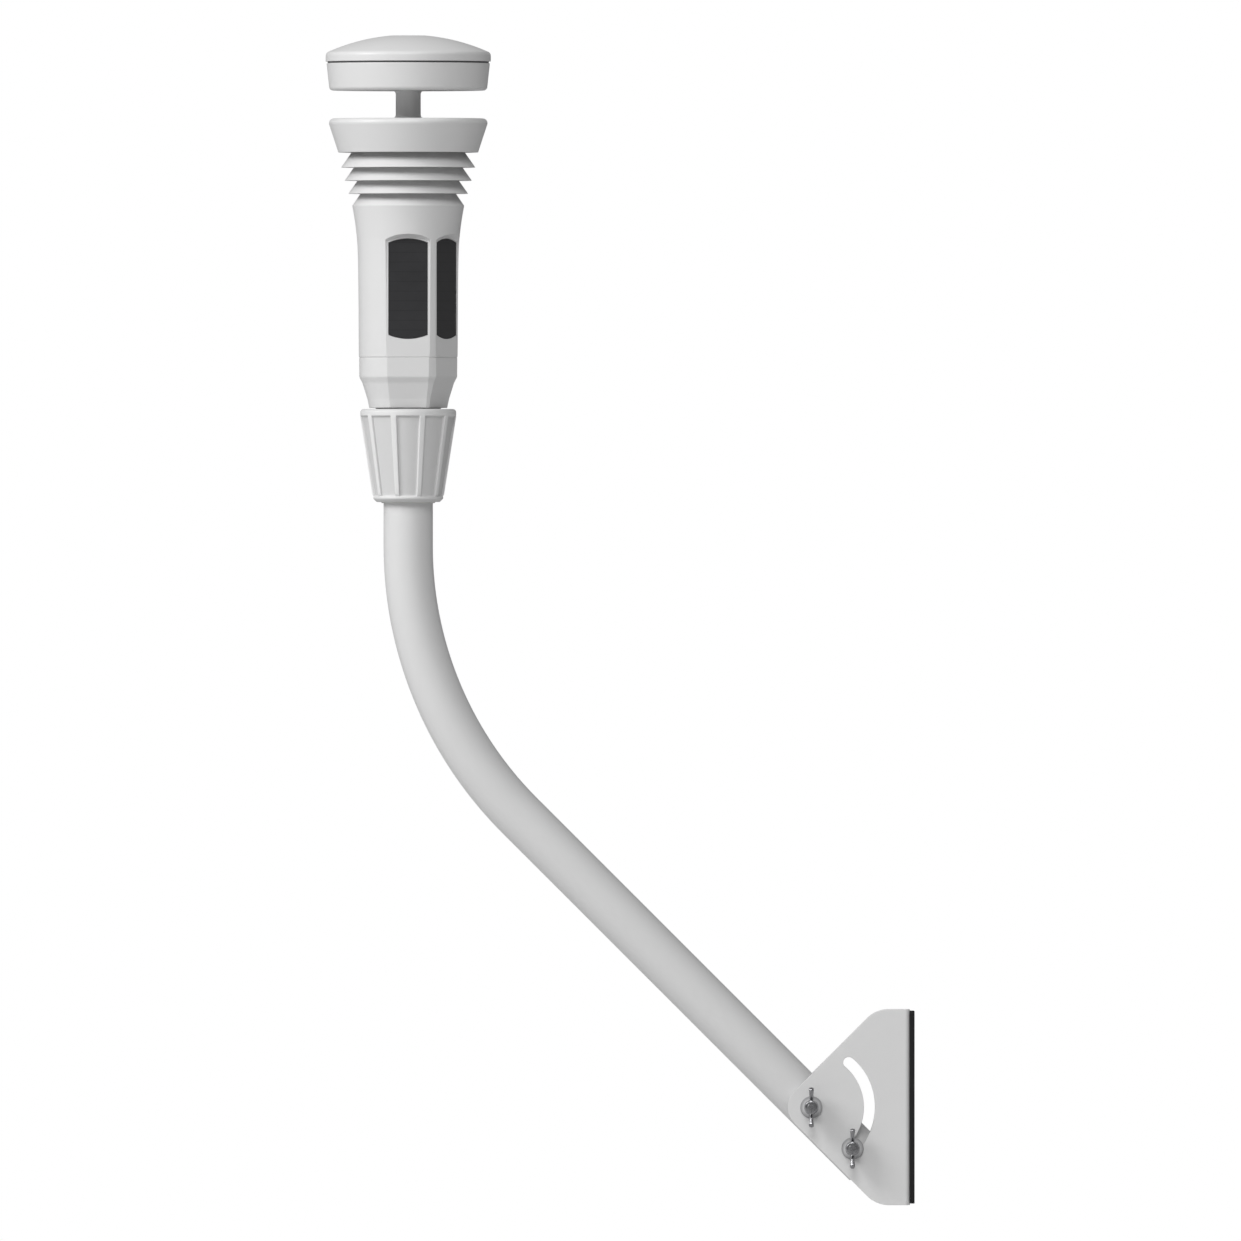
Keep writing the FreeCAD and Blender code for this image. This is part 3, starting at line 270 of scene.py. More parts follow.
PAD_THICK = 3.0
SCREW_R = 3.25
SCREW_SPOTS = [(y, z) for y in (-8, 8) for z in (-50, 50)]
UPRIGHT = Matrix(((0, 0, 1), (1, 0, 0), (0, 1, 0))).to_4x4()
pad_rim = soften([(-18, -62, 2), (18, -62, 2), (18, 62, 2), (-18, 62, 2)])
pad_holes = [circle(y, z, SCREW_R) for y, z in SCREW_SPOTS]
pad = stand(plate([pad_rim] + pad_holes, PAD_THICK, 0.35), UPRIGHT)
place = (-PAD_THICK / 2, 0, 0)
even(piece("wall_pad_rubber", pad, rubber, "bracket", ["wall_pad"], place))

# ---------------------------------------------------------------- wall bracket
# Channel folded from 2 mm steel: a web on the wall and two cheeks for the arm.
# Laser cut flat with its slots and holes, bent, then powder coated light grey.

coat = Finish("bracket_paint", Specular_IOR_Level=0.45)
peel = coat.noise(1100, 2, 0.4)
speck = coat.noise(5200, 2, 0.5)
drift = coat.noise(9, 3)
coat.feed(
    Base_Color=coat.blend(drift, (0.67, 0.67, 0.67), (0.71, 0.71, 0.71)),
    Roughness=0.40 + 0.10 * drift + 0.06 * speck,
    Normal=coat.bump(peel, 0.00003, 0.5, coat.bump(speck, 0.00001, 0.5)),
)

PIVOT = -66.5
SHEET = 2.0
WEB_HALF = 15.2
BEND_MIDDLE = 2.0
BEND_RUN = BEND_MIDDLE * math.pi / 2
BEND_X = -6.0
SLOT_R, SLOT_HALF, SLOT_END = 37.5, 3.6, 50


def unfolded(x, z, side):
    """Where a point of a folded cheek lies on the flat blank."""
    return Vector((side * (WEB_HALF + BEND_RUN + BEND_X - x), z))


def arc(x, y, radius, start, end, steps):
    """Points of an arc about (x, y), angles in degrees."""
    turns = [math.radians(start + (end - start) * k / steps) for k in range(steps + 1)]
    return [(x + radius * math.cos(a), y + radius * math.sin(a)) for a in turns]


def slot_cap(angle, start, steps=10):
    """The round end of the adjusting slot, turned from a start angle."""
    (x, z), _ = arc(PIVOT, 0, SLOT_R, angle, angle, 1)
    return arc(x, z, SLOT_HALF, angle + start, angle + start + 180, steps)[1:-1]


slot_line = arc(PIVOT, 0, SLOT_R + SLOT_HALF, -SLOT_END, SLOT_END, 50)
slot_line += slot_cap(SLOT_END, 0)
slot_line += arc(PIVOT, 0, SLOT_R - SLOT_HALF, SLOT_END, -SLOT_END, 44)
slot_line += slot_cap(-SLOT_END, 180)

blank_rim = []
for side in (1, -1):
    corners = [(-6, 63, 0), (-24.71, 63, 20), (PIVOT - 15 * math.sqrt(2), 0, 15)]
    corners += [(-24.71, -63, 20), (-6, -63, 0)]
    outline = [unfolded(p.x, p.y, side) for p in soften(corners, 4)]
    blank_rim += outline if side > 0 else outline[::-1]
blank_holes = [[unfolded(x, z, side) for x, z in slot_line] for side in (1, -1)]
blank_holes.append(circle(unfolded(PIVOT, 0, -1).x, 0, 3.2))
far = unfolded(PIVOT, 0, 1).x
key = 6.3 / math.sqrt(2)
square_hole = [(far + key, 0, 0.4), (far, key, 0.4), (far - key, 0, 0.4), (far, -key, 0.4)]
blank_holes.append(soften(square_hole))
blank_holes += [circle(y, z, SCREW_R) for y, z in SCREW_SPOTS]
blank = plate([blank_rim] + blank_holes, SHEET, 0.3)
for side in (1, -1):
    for step in range(-1, 12):
        cut = side * (WEB_HALF + BEND_RUN * step / 10) * MM
        everything = blank.verts[:] + blank.edges[:] + blank.faces[:]
        bmesh.ops.bisect_plane(blank, geom=everything, plane_co=(cut, 0, 0), plane_no=(1, 0, 0))
for vert in blank.verts:
    run, z, proud = abs(vert.co.x) / MM, vert.co.y / MM, vert.co.z / MM
    side = 1 if vert.co.x > 0 else -1
    angle = min(max((run - WEB_HALF) / BEND_MIDDLE, 0), math.pi / 2)
    x = BEND_X + (BEND_MIDDLE + proud) * math.cos(angle)
    y = min(run, WEB_HALF) + (BEND_MIDDLE + proud) * math.sin(angle)
    x -= max(run - WEB_HALF - BEND_RUN, 0)
    vert.co = Vector((x, side * y, z)) * MM
bmesh.ops.recalc_face_normals(blank, faces=blank.faces)
even(piece("wall_bracket_folded", blank, coat, "bracket", ["wall_bracket"]))

# ---------------------------------------------------------------- arm tube
# Round steel tube, 31.75 mm, with one large drawn bend and both ends sawn square.
# Powder coated like the bracket, cross drilled for the pivot and the clamp bolt.

tube_coat = Finish("tube_paint", Specular_IOR_Level=0.45)
peel = tube_coat.noise(900, 2, 0.4)
drift = tube_coat.noise(7, 3)
tube_coat.feed(
    Base_Color=tube_coat.blend(drift, (0.65, 0.65, 0.65), (0.69, 0.69, 0.69)),
    Roughness=0.36 + 0.10 * drift,
    Normal=tube_coat.bump(peel, 0.00003, 0.5),
)

STATION = -326.0
TUBE_R, TUBE_BORE = 15.875, 14.275
TUBE_TOP = 452.0
BEND_R = 245.0
BEND_TOP = 360.98
DOWNHILL = math.sqrt(0.5)
TAIL_RUN = 316.5
BEND_LENGTH = BEND_R * math.pi / 4
STRAIGHT = TUBE_TOP - BEND_TOP


def skin(rows, loop=True):
    """Join rows of points, each a ring or a single pole, into one surface."""
    made = bmesh.new()
    rings = [[made.verts.new(point) for point in row] for row in rows]
    pairs = list(zip(rings, rings[1:]))
    if loop:
        pairs.append((rings[-1], rings[0]))
    for low, high in pairs:
        for here in range(max(len(low), len(high))):
            there = (here + 1) % max(len(low), len(high))
            if len(low) == 1:
                made.faces.new((low[0], high[there], high[here]))
            elif len(high) == 1:
                made.faces.new((low[here], low[there], high[0]))
            else:
                made.faces.new((low[here], low[there], high[there], high[here]))
    bmesh.ops.recalc_face_normals(made, faces=made.faces)
    return made


def lathe(profile, count=128, along="Z"):
    """Turn a closed half section of (radius, height) points about an axis."""
    rows = []
    for radius, height in profile:
        turns = [math.tau * k / count for k in range(count)] if radius > 1e-6 else [0]
        if along == "Z":
            row = [(radius * math.sin(a), -radius * math.cos(a), height) for a in turns]
        else:
            row = [(radius * math.sin(a), height, radius * math.cos(a)) for a in turns]
        rows.append([Vector(p) * MM for p in row])
    return skin(rows, loop=profile[0][0] > 1e-6)


def carve(thing, cutters, crease=35):
    """Cut other meshes out of a piece and leave a plain mesh."""
    for made in cutters:
        mesh = bpy.data.meshes.new("cutter")
        made.to_mesh(mesh)
        made.free()
        tool = bpy.data.objects.new("cutter", mesh)
        bpy.context.scene.collection.objects.link(tool)
        tool.matrix_world = thing.matrix_world
        bpy.context.view_layer.update()
        cut = thing.modifiers.new("cut", "BOOLEAN")
        cut.operation = "DIFFERENCE"
        cut.solver = "EXACT"
        cut.object = tool
        graph = bpy.context.evaluated_depsgraph_get()
        result = bpy.data.meshes.new_from_object(thing.evaluated_get(graph))
        thing.modifiers.remove(cut)
        old = thing.data
        result.name = thing.name
        thing.data = result
        bpy.data.meshes.remove(old)
        bpy.data.objects.remove(tool)
    thing.data.set_sharp_from_angle(angle=math.radians(crease))
    return thing


def tube_ring(run, radius, count=72):
    """Ring of tube points at a distance along the arm from its top end."""
    if run <= STRAIGHT:
        angle, x, z = 0.0, STATION, TUBE_TOP - run
    else:
        angle = min((run - STRAIGHT) / BEND_R, math.pi / 4)
        x = STATION + BEND_R * (1 - math.cos(angle))
        z = BEND_TOP - BEND_R * math.sin(angle)
        rest = max(run - STRAIGHT - BEND_LENGTH, 0)
        x += rest * math.sin(angle)
        z -= rest * math.cos(angle)
    ring = []
    for k in range(count):
        turn = math.tau * k / count
        out = radius * math.cos(turn)
        lean_x, lean_z = x - out * math.cos(angle), z - out * math.sin(angle)
        ring.append(Vector((lean_x, radius * math.sin(turn), lean_z)) * MM)
    return ring


def shift(x, y, z):
    """Matrix that moves a mesh by millimetres."""
    return Matrix.Translation((x * MM, y * MM, z * MM))


end_run = STRAIGHT + BEND_LENGTH + TAIL_RUN
outside = [0.4, 0.6, 20, 40, 62, STRAIGHT - 1]
outside += [STRAIGHT + BEND_LENGTH * k / 40 for k in range(41)]
outside += [STRAIGHT + BEND_LENGTH + run for run in (1, 60, 120, 180, 240, 290)]
outside += [end_run - 0.6, end_run - 0.4]
inside = [end_run - 0.2, end_run - 40, end_run - 120, end_run - 220]
inside += [STRAIGHT + BEND_LENGTH * (1 - k / 16) for k in range(17)] + [30, 0.2]
rings = [tube_ring(run, TUBE_R) for run in outside]
rings += [tube_ring(end_run - 0.1, TUBE_R - 0.12), tube_ring(end_run, TUBE_R - 0.4)]
rings += [tube_ring(end_run, TUBE_BORE + 0.2)]
rings += [tube_ring(run, TUBE_BORE) for run in inside]
rings += [tube_ring(0, TUBE_BORE + 0.2), tube_ring(0, TUBE_R - 0.4), tube_ring(0.1, TUBE_R - 0.12)]
arm = piece("arm_tube_bent", skin(rings), tube_coat, "arm", ["arm_tube"])
CLAMP = (PIVOT + SLOT_R * DOWNHILL, -SLOT_R * DOWNHILL)
BORE_R = 3.05
BOLTS = {"pivot": (PIVOT, 0.0, "bracket"), "slot": (*CLAMP, "arm")}
drills = []
for x, z, _ in BOLTS.values():
    drill = lathe([(0, -25), (BORE_R, -25), (BORE_R, 25), (0, 25)], 48, "Y")
    drills.append(stand(drill, shift(x, 0, z)))
carve(arm, drills)

# ---------------------------------------------------------------- bolts
# Two stainless M6 coach bolts: domed head on the far cheek, square neck in it,
# and a rolled thread that comes out through the wing nut on the near side.

steel = Finish("stainless", Metallic=1.0)
smear = steel.noise(260, 4, 0.6)
grain = steel.noise(1800, 3, 0.6)
steel.feed(
    Base_Color=steel.blend(smear, (0.24, 0.24, 0.25), (0.38, 0.38, 0.39)),
    Roughness=0.17 + 0.14 * smear + 0.05 * grain,
    Normal=steel.bump(grain, 0.00002, 0.5),
)

CHEEK_OUT = 18.2
BOLT_TIP = CHEEK_OUT - 50.0
SHANK_R, TIP_R = 2.97, 2.2
THREAD_START, THREAD_END = BOLT_TIP + 0.3, BOLT_TIP + 24
HEAD_R, HEAD_RISE = 7.5, 2.7
SQUARE = 3.0


def bolt_rows(count=36):
    """Rows of the shank from its tip, with a rolled thread, to the plain part."""
    rows = [[(0, BOLT_TIP)], [(TIP_R, BOLT_TIP)] * count]
    rows.append([(TIP_R + 0.15, BOLT_TIP + 0.15)] * count)
    height = THREAD_START
    while height < THREAD_END:
        fade = max(min((height - THREAD_START) / 0.9, 1, (THREAD_END - height) / 1.5), 0)
        row = []
        for k in range(count):
            phase = (height + k / count) % 1.0
            groove = min(max(0.6 * (1 - abs(2 * phase - 1) * 1.25), 0), 0.55)
            row.append((min(SHANK_R - groove * fade, TIP_R + height - BOLT_TIP), height))
        rows.append(row)
        height += 0.125
    for height in (THREAD_END + 0.2, 0, CHEEK_OUT - SHEET - 0.1):
        rows.append([(SHANK_R, height)] * count)
    return rows


def spin(degrees, axis):
    """Matrix that turns a mesh about an axis."""
    return Matrix.Rotation(math.radians(degrees), 4, axis)


def absorb(made, part):
    """Add a second mesh to the first."""
    mesh = bpy.data.meshes.new("part")
    part.to_mesh(mesh)
    part.free()
    made.from_mesh(mesh)
    bpy.data.meshes.remove(mesh)
    return made


for name, (x, z, body) in BOLTS.items():
    rows = []
    for row in bolt_rows():
        turns = [math.tau * k / len(row) for k in range(len(row))]
        ring = [(r * math.sin(a), h, r * math.cos(a)) for (r, h), a in zip(row, turns)]
        rows.append([Vector(point) * MM for point in ring])
    rows.append([Vector((0, CHEEK_OUT - SHEET - 0.1, 0)) * MM])
    bolt = skin(rows, loop=False)
    dome = [(HEAD_R * a, 0.5 + HEAD_RISE * b) for a, b in arc(0, 0, 1, 0, 90, 14)[:-1]]
    dome = [(0, 0), (HEAD_R, 0)] + dome + [(0, 0.5 + HEAD_RISE)]
    absorb(bolt, lathe([(r, CHEEK_OUT + h) for r, h in dome], 64, "Y"))
    corners = [(a * SQUARE, b * SQUARE, 0.4) for a, b in ((-1, -1), (1, -1), (1, 1), (-1, 1))]
    square = plate([soften(corners)], SHEET + 0.2, 0.15)
    place = shift(0, CHEEK_OUT - SHEET / 2 + 0.05, 0)
    absorb(bolt, stand(square, place @ spin(45, "Y") @ spin(90, "X")))
    piece(name + "_bolt_m6", bolt, steel, body, [name + "_bolt"], (x, 0, z))

# ---------------------------------------------------------------- washers
# Flat stainless washers, stamped, so one edge is rounded and the other crisp.
# The tumbled face is made pale, partly as painted reflection of the bright front, and a dark ring
# along the outer edge is painted shade.

SEAT = -CHEEK_OUT - 1.2

washer_finish = Finish("washer_pale_painted_light", Metallic=0.2)
bloom = washer_finish.noise(400, 4, 0.6)
# The dark ring near the outer edge is painted shade where the edge rounds off.
scale = washer_finish.ramp(washer_finish.reach((1, 0, 1)), 6.5 * MM, 6.8 * MM)
# Pale face colour: tumbled finish, lightened further as a painted reflection.
tumbled_and_painted_reflection = washer_finish.blend(bloom, (0.80, 0.80, 0.81), (0.90, 0.90, 0.91))
washer_finish.feed(
    Base_Color=washer_finish.blend(scale, tumbled_and_painted_reflection, (0.16, 0.16, 0.165)),
    Roughness=0.34 + 0.18 * bloom,
    Normal=washer_finish.bump(bloom, 0.00002, 0.4),
)
for name, (x, z, _) in BOLTS.items():
    ring = [(3.2, -CHEEK_OUT, 0.1), (7.1, -CHEEK_OUT, 0.1), (7.1, SEAT, 0.35), (3.2, SEAT, 0.2)]
    disc, node = lathe(soften(ring, 20), 72, "Y"), name + "_washer"
    piece(node + "_flat", disc, washer_finish, node, [node], (x, 0, z))

# ---------------------------------------------------------------- wing nuts
# Forged stainless wing nuts for M6: a tapered boss and two ears set upright.
# The forging leaves soft fillets where the ears run into the boss.

EAR = [(1.2, 2.0, 0), (2.2, 5.5, 2), (3.2, 9.5, 3), (6.0, 12.9, 2.5), (10.6, 12.9, 2)]
EAR += [(12.3, 11.2, 1.8), (9.6, 6.4, 3), (7.2, 4.0, 2), (7.0, 2.0, 0)]
BOSS_HIGH = 8


def fused(parts, grain):
    """Melt overlapping meshes into one smooth forging."""
    whole = bmesh.new()
    for part in parts:
        absorb(whole, part)
    mesh = bpy.data.meshes.new("blank")
    whole.to_mesh(mesh)
    whole.free()
    blank = bpy.data.objects.new("blank", mesh)
    bpy.context.scene.collection.objects.link(blank)
    melt = blank.modifiers.new("melt", "REMESH")
    melt.mode = "VOXEL"
    melt.voxel_size = grain * MM
    calm = blank.modifiers.new("calm", "SMOOTH")
    calm.factor = 0.5
    calm.iterations = 6
    graph = bpy.context.evaluated_depsgraph_get()
    result = bpy.data.meshes.new_from_object(blank.evaluated_get(graph))
    made = bmesh.new()
    made.from_mesh(result)
    bpy.data.meshes.remove(result)
    bpy.data.objects.remove(blank)
    return made


for name, (x, z, _) in BOLTS.items():
    boss = [(0, SEAT, 0), (4.75, SEAT, 0.3), (4.1, SEAT - BOSS_HIGH, 0.6), (0, SEAT - BOSS_HIGH, 0)]
    parts = [lathe(soften(boss, 20), 64, "Y")]
    for side in (1, -1):
        ear = plate([[Vector((-h, side * r)) for h, r in soften(EAR, 15)]], 3.0, 0.9)
        for vert in ear.verts:
            out = abs(vert.co.y) / MM
            vert.co.z *= 0.72 + 0.40 * min(max((out - 4) / 9, 0), 1)
        parts.append(stand(ear, shift(0, SEAT, 0) @ UPRIGHT))
    forging, node = fused(parts, 0.3), name + "_wing_nut"
    nut = piece(node + "_forged", forging, steel, name + "_nut", [node], (x, 0, z), 60)
    carve(nut, [lathe([(0, -45), (BORE_R, -45), (BORE_R, 0), (0, 0)], 48, "Y")])

# ---------------------------------------------------------------- tube fittings
# A nylon cup over the tube end carries the station; a nylon ring in the collar
# grips the tube, and its lip shows as a thin pale line under the collar.

nylon = Finish("pale_nylon", Specular_IOR_Level=0.4, Subsurface_Weight=0.05)
haze = nylon.noise(120, 3)
nylon.feed(
    Base_Color=nylon.blend(haze, (0.66, 0.66, 0.64), (0.72, 0.72, 0.70)),
    Roughness=0.42 + 0.12 * haze,
    Normal=nylon.bump(nylon.noise(2400, 2), 0.00002, 0.4),
)
AXIS = (STATION, 0, 0)
cup = [(0, 452.3, 0), (16.175, 452.3, 0.3), (16.175, 414, 0.2)]
cup += [(17.1, 414, 0.2), (17.1, 453.6, 0.5), (0, 453.6, 0)]
cup = lathe(soften(cup), 96)
piece("pole_sleeve_cup", cup, nylon, "sleeve", ["pole_sleeve"], AXIS)
grip = [(16.2, 388.9, 0.2), (17.3, 388.9, 0.25), (17.3, 392.9, 0), (20, 392.9, 0.2)]
grip += [(20, 405, 0.3), (18.6, 411, 0.3), (16.2, 411, 0.2)]
grip = lathe(soften(grip), 96)
piece("compression_ring_nylon", grip, nylon, "ring", ["compression_ring"], AXIS)

# ---------------------------------------------------------------- lock collar
# Tapered screw collar with ten grip ribs between a foot ring and a round rim.
# Moulded in the same light grey plastic as the station, a shade more matt.

collar_skin = Finish("collar_plastic", Specular_IOR_Level=0.4)
leather = collar_skin.noise(1500, 3, 0.55)
drift = collar_skin.noise(22, 3)
lay = collar_skin.noise(1400, 2, 0.5, (0.05, 0.05, 1))
WALL_LOW, WALL_LOW_R = 394.6, 21.6
WALL_HIGH, WALL_SPREAD = 49.0, 7.6
RIB_RISE = 1.5
wall = (collar_skin.along("Z") - WALL_LOW * MM) * (WALL_SPREAD / WALL_HIGH) + WALL_LOW_R * MM
proud = (collar_skin.reach((1, 1, 0)) - wall) / (RIB_RISE * MM)
# Rib tops get a lighter colour as painted highlight and the valleys a darker one as painted shade;
# the rib tops are also a little glossier.
rib_polish_and_painted_light = collar_skin.ramp(proud, 0.35, 0.95)
painted_valley_shade = collar_skin.blend(drift, (0.60, 0.60, 0.60), (0.64, 0.64, 0.64))
collar_skin.feed(
    Base_Color=collar_skin.blend(rib_polish_and_painted_light, painted_valley_shade, (0.76, 0.76, 0.76)),
    Roughness=0.48 + 0.12 * leather - 0.12 * rib_polish_and_painted_light,
    Normal=collar_skin.bump(leather, 0.00004, 0.6, collar_skin.bump(lay, 0.00004, 0.5)),
)

RIBS = 10
collar_rows = [(17.6, 389.6, 0), (20.1, 389.6, 0), (20.4, 389.7, 0), (22.2, 391.5, 0)]
collar_rows += [(22.5, 391.9, 0), (22.5, 392.7, 0), (22.4, 393.0, 0), (22.1, 393.3, 0.15)]
collar_rows += [(21.75, 393.6, 0.5), (21.55, 394.0, 0.85)]
for step in range(13):
    share = step / 12
    collar_rows.append((WALL_LOW_R + WALL_SPREAD * share, WALL_LOW + WALL_HIGH * share, 1))
collar_rows += [(29.35, 444.2, 1), (29.7, 444.6, 0.75), (30.3, 444.9, 0.35)]
collar_rows += [(30.75, 445.2, 0.06), (30.9, 445.6, 0), (30.9, 447.1, 0)]
collar_rows += [(r, h, 0) for r, h in arc(28.7, 447.3, 2.2, 0, 90, 8)[1:]]
collar_rows += [(28.4, 449.5, 0), (25.0, 449.5, 0), (24.8, 449.3, 0), (24.8, 432, 0)]
collar_rows += [(21.3, 432, 0), (21.3, 411.3, 0), (20.3, 411.3, 0), (20.3, 392.6, 0)]
collar_rows += [(17.6, 392.6, 0)]
RIB_EDGE = 1.3
RIB_SHAPE = [(-RIB_EDGE, 0.0), (-1.16, 0.04), (-1.06, 0.30), (-1.0, 0.80), (-0.88, 0.98)]
RIB_SHAPE += [(-0.7, 1.0), (0, 1.0)]
RIB_SHAPE += [(-s, rise) for s, rise in RIB_SHAPE[-2::-1]]
rows = []
for radius, height, rise in collar_rows:
    half = (1.35 + 0.5 * min(max((height - 397) / 45, 0), 1)) / max(radius, 22)
    ring = []
    for rib in range(RIBS):
        middle = math.tau * (rib + 0.5) / RIBS
        for place, lift in RIB_SHAPE:
            ring.append((middle + place * half, radius + RIB_RISE * rise * lift))
        gap = math.tau / RIBS - 2 * RIB_EDGE * half
        for step in range(1, 8):
            ring.append((middle + RIB_EDGE * half + gap * step / 8, radius))
    rows.append([Vector((r * math.sin(a), -r * math.cos(a), height)) * MM for a, r in ring])
ribbed = skin(rows)
piece("lock_collar_ribbed", ribbed, collar_skin, "collar", ["lock_collar"], AXIS, 50)

# ---------------------------------------------------------------- base shell
# Tapered foot of the station with its split threaded socket inside the collar.
# Four flats run up it toward the solar panels. Moulded light grey ASA plastic.

shell = Finish("shell_plastic", Specular_IOR_Level=0.42)
spark = shell.noise(2200, 3, 0.6)
drift = shell.noise(14, 3)
shell.feed(
    Base_Color=shell.blend(drift, (0.665, 0.665, 0.665), (0.70, 0.70, 0.70)),
    Roughness=0.30 + 0.08 * drift + 0.05 * spark,
    Normal=shell.bump(spark, 0.00002, 0.5),
)

FACETS, FACET_TURN = 4, 60
FLAT = 28.6
SEAM = 0.35


def faceted(rows):
    """Surface with four flats: rows give height rule, radius rule, flat and half width."""
    made_rows = []
    for height, radius, flat, half, sunk in rows:
        edge = math.atan2(half, flat)
        ring = []
        for facet in range(FACETS):
            middle = math.radians(FACET_TURN * facet)
            for share in (-1, -0.97, -0.8, -0.55, -0.3, 0, 0.3, 0.55, 0.8, 0.97, 1):
                x = share * half
                z = height(x)
                reach = min(math.hypot(flat, x), radius(z)) if sunk else radius(z)
                ring.append((middle + math.atan2(x, flat), reach, z))
            start = middle + edge
            end, steps = start + math.radians(FACET_TURN) - 2 * edge, 5
            if facet == FACETS - 1:
                end, steps = math.tau - edge, 44
            small = min(math.radians(0.7), (end - start) * 0.2)
            for place in [start + small * 0.3, start + small]:
                ring.append((place, radius(height(half)), height(half)))
            for step in range(1, steps):
                place = start + small + (end - start - 2 * small) * step / steps
                ring.append((place, radius(height(half)), height(half)))
            for place in [end - small, end - small * 0.3]:
                ring.append((place, radius(height(half)), height(half)))
        made_rows.append([Vector((r * math.sin(a), -r * math.cos(a), z)) * MM for a, r, z in ring])
    return made_rows


def level(height):
    """A height rule that is the same all round."""
    return lambda x: height


def constant(radius):
    """A radius rule that is the same at every height."""
    return lambda z: radius


FOOT, SHOULDER_Z, RIM = 450.2, 470.1, 482.7
taper = [(25.1, FOOT, 0.3), (26.3, 456, 9), (29.5, 466.3, 9), (31.5, SHOULDER_Z, 3.0)]
taper += [(31.6, 482.2, 0.3), (31.15, RIM, 0.1), (0, RIM, 0), (0, FOOT, 0)]
taper = [point for point in soften(taper, 8) if point.x > 24.5]
rows = []
for point in taper:
    share = min(max((point.y - FOOT) / (SHOULDER_Z - FOOT), 0), 1)
    half = 11.5 + 1.75 * share
    flat = min(math.sqrt(point.x ** 2 - half ** 2), FLAT)
    if point.y > 482.3:
        flat = FLAT - SEAM
    rows.append((level(point.y), constant(point.x), flat, half, True))
below = [(21, FOOT), (21, 412.5), (20.5, 412), (17.4, 412), (17.4, 453.9)]
above = [(25.4, RIM), (25.4, 485.6), (23.9, 485.6), (23.9, 487.2), (25.4, 487.2)]
above += [(25.4, 489.6), (25.0, 490), (23, 490), (23, 457)]
rows = [(level(z), constant(r), FLAT, 12.0, False) for r, z in below[::-1]] + rows
rows += [(level(z), constant(r), FLAT, 12.0, False) for r, z in above]
base_rows = faceted(rows)
base_rows = [[Vector((0, 0, 453.9)) * MM]] + base_rows + [[Vector((0, 0, 457)) * MM]]
base = skin(base_rows, loop=False)
base = piece("base_shell_tapered", base, shell, "station", ["base_shell"], AXIS, 12)
slits = []
for turn in (0, 90):
    outline = [Vector((-1, 405)), Vector((1, 405)), Vector((1, 436)), Vector((-1, 436))]
    slit = plate([outline], 60, 0.01)
    slits.append(stand(slit, spin(turn, "Z") @ spin(90, "X")))
carve(base, slits, 12)

# ---------------------------------------------------------------- body shell
# Main shell: four flats for the panels, a flared top and a sloping roof under the louvres.
# Each flat ends under an arched brow, and each panel lies in a shallow recess.

FLARE = [(RIM, 31.2), (483.1, 31.75), (487, 31.85), (518, 32.0), (533, 32.15), (543.5, 32.3)]
FLARE += [(553.8, 32.62), (559, 32.95), (564, 33.5), (569.3, 34.15), (574.4, 34.95)]
FLARE += [(579.9, 35.95)]
PANEL_HALF = 12.55
FACET_HALF = 14.0


def flare(height):
    """Radius of the turned outside at a height."""
    for (low, first), (high, last) in zip(FLARE, FLARE[1:]):
        if height <= high:
            return first + (last - first) * (height - low) / (high - low)
    return FLARE[-1][1]


def brow(x):
    """Height of the arch where the flat's brow meets the outside."""
    return 562.2 - 3.7 * (x / FACET_HALF) ** 2


def flat_top(x):
    """Height of the arch at the back of the brow, on the flat."""
    return 559.7 - 2.7 * (x / FACET_HALF) ** 2


def between(low, high, share):
    """A height rule part way between two others."""
    return lambda x: low(x) + (high(x) - low(x)) * share


bottom, roof_edge = level(483.1), level(579.9)
rows = [(level(RIM), flare, FLAT - SEAM, FACET_HALF, True)]
LOW_STEPS = (0, 0.01, 0.03, 0.08, 0.15, 0.25, 0.35, 0.45, 0.55, 0.65, 0.75, 0.85)
LOW_STEPS += (0.92, 0.97, 0.995, 1)
HIGH_STEPS = (0, 0.012, 0.03, 0.1, 0.2, 0.32, 0.45, 0.6, 0.75, 0.9, 1)
rows += [(between(bottom, flat_top, k), flare, FLAT, FACET_HALF, True) for k in LOW_STEPS]
rows += [(between(brow, roof_edge, k), flare, FLAT, FACET_HALF, False) for k in HIGH_STEPS]
roof = [(36.0, 580.2), (35.98, 580.5), (35.8, 580.8), (35.5, 581.2), (31.6, 586.9)]
roof += [(27.9, 592.2), (27.5, 592.6), (5.2, 592.6), (5, 592.4), (5, 590.6), (25.1, 590.6)]
roof += [(25.6, 580), (25.6, RIM)]
rows += [(level(z), constant(r), FLAT, FACET_HALF, False) for r, z in roof]
body = skin(faceted(rows))
body = piece("body_shell_faceted", body, shell, "station", ["body_shell"], AXIS, 12)


def panel_line(grow):
    """Outline of a panel: straight sides and gently arched ends."""
    half, low, high = PANEL_HALF + grow, 497.2 - grow, 556.4 + grow
    line = []
    for way, height in ((-1, low), (1, high)):
        for k in range(-12, 13):
            x = -way * k / 12 * half
            line.append(Vector((x, height + way * 2.6 * (1 - (x / half) ** 2))))
    return line


def facing(index, out):
    """Matrix that stands a flat plate on a facet, a distance out from the axis."""
    return spin(FACET_TURN * index, "Z") @ shift(0, -out, 0) @ spin(90, "X")


BED = FLAT - 1.0
beds = [stand(plate([panel_line(0.2)], 3.0, 0.01), facing(k, BED + 1.5)) for k in range(FACETS)]
carve(body, beds, 12)

# ---------------------------------------------------------------- solar panels
# Four dark cell strips under clear resin, glued in the recesses of the flats.
# The cells run in fine rows that barely show through the tinted face.

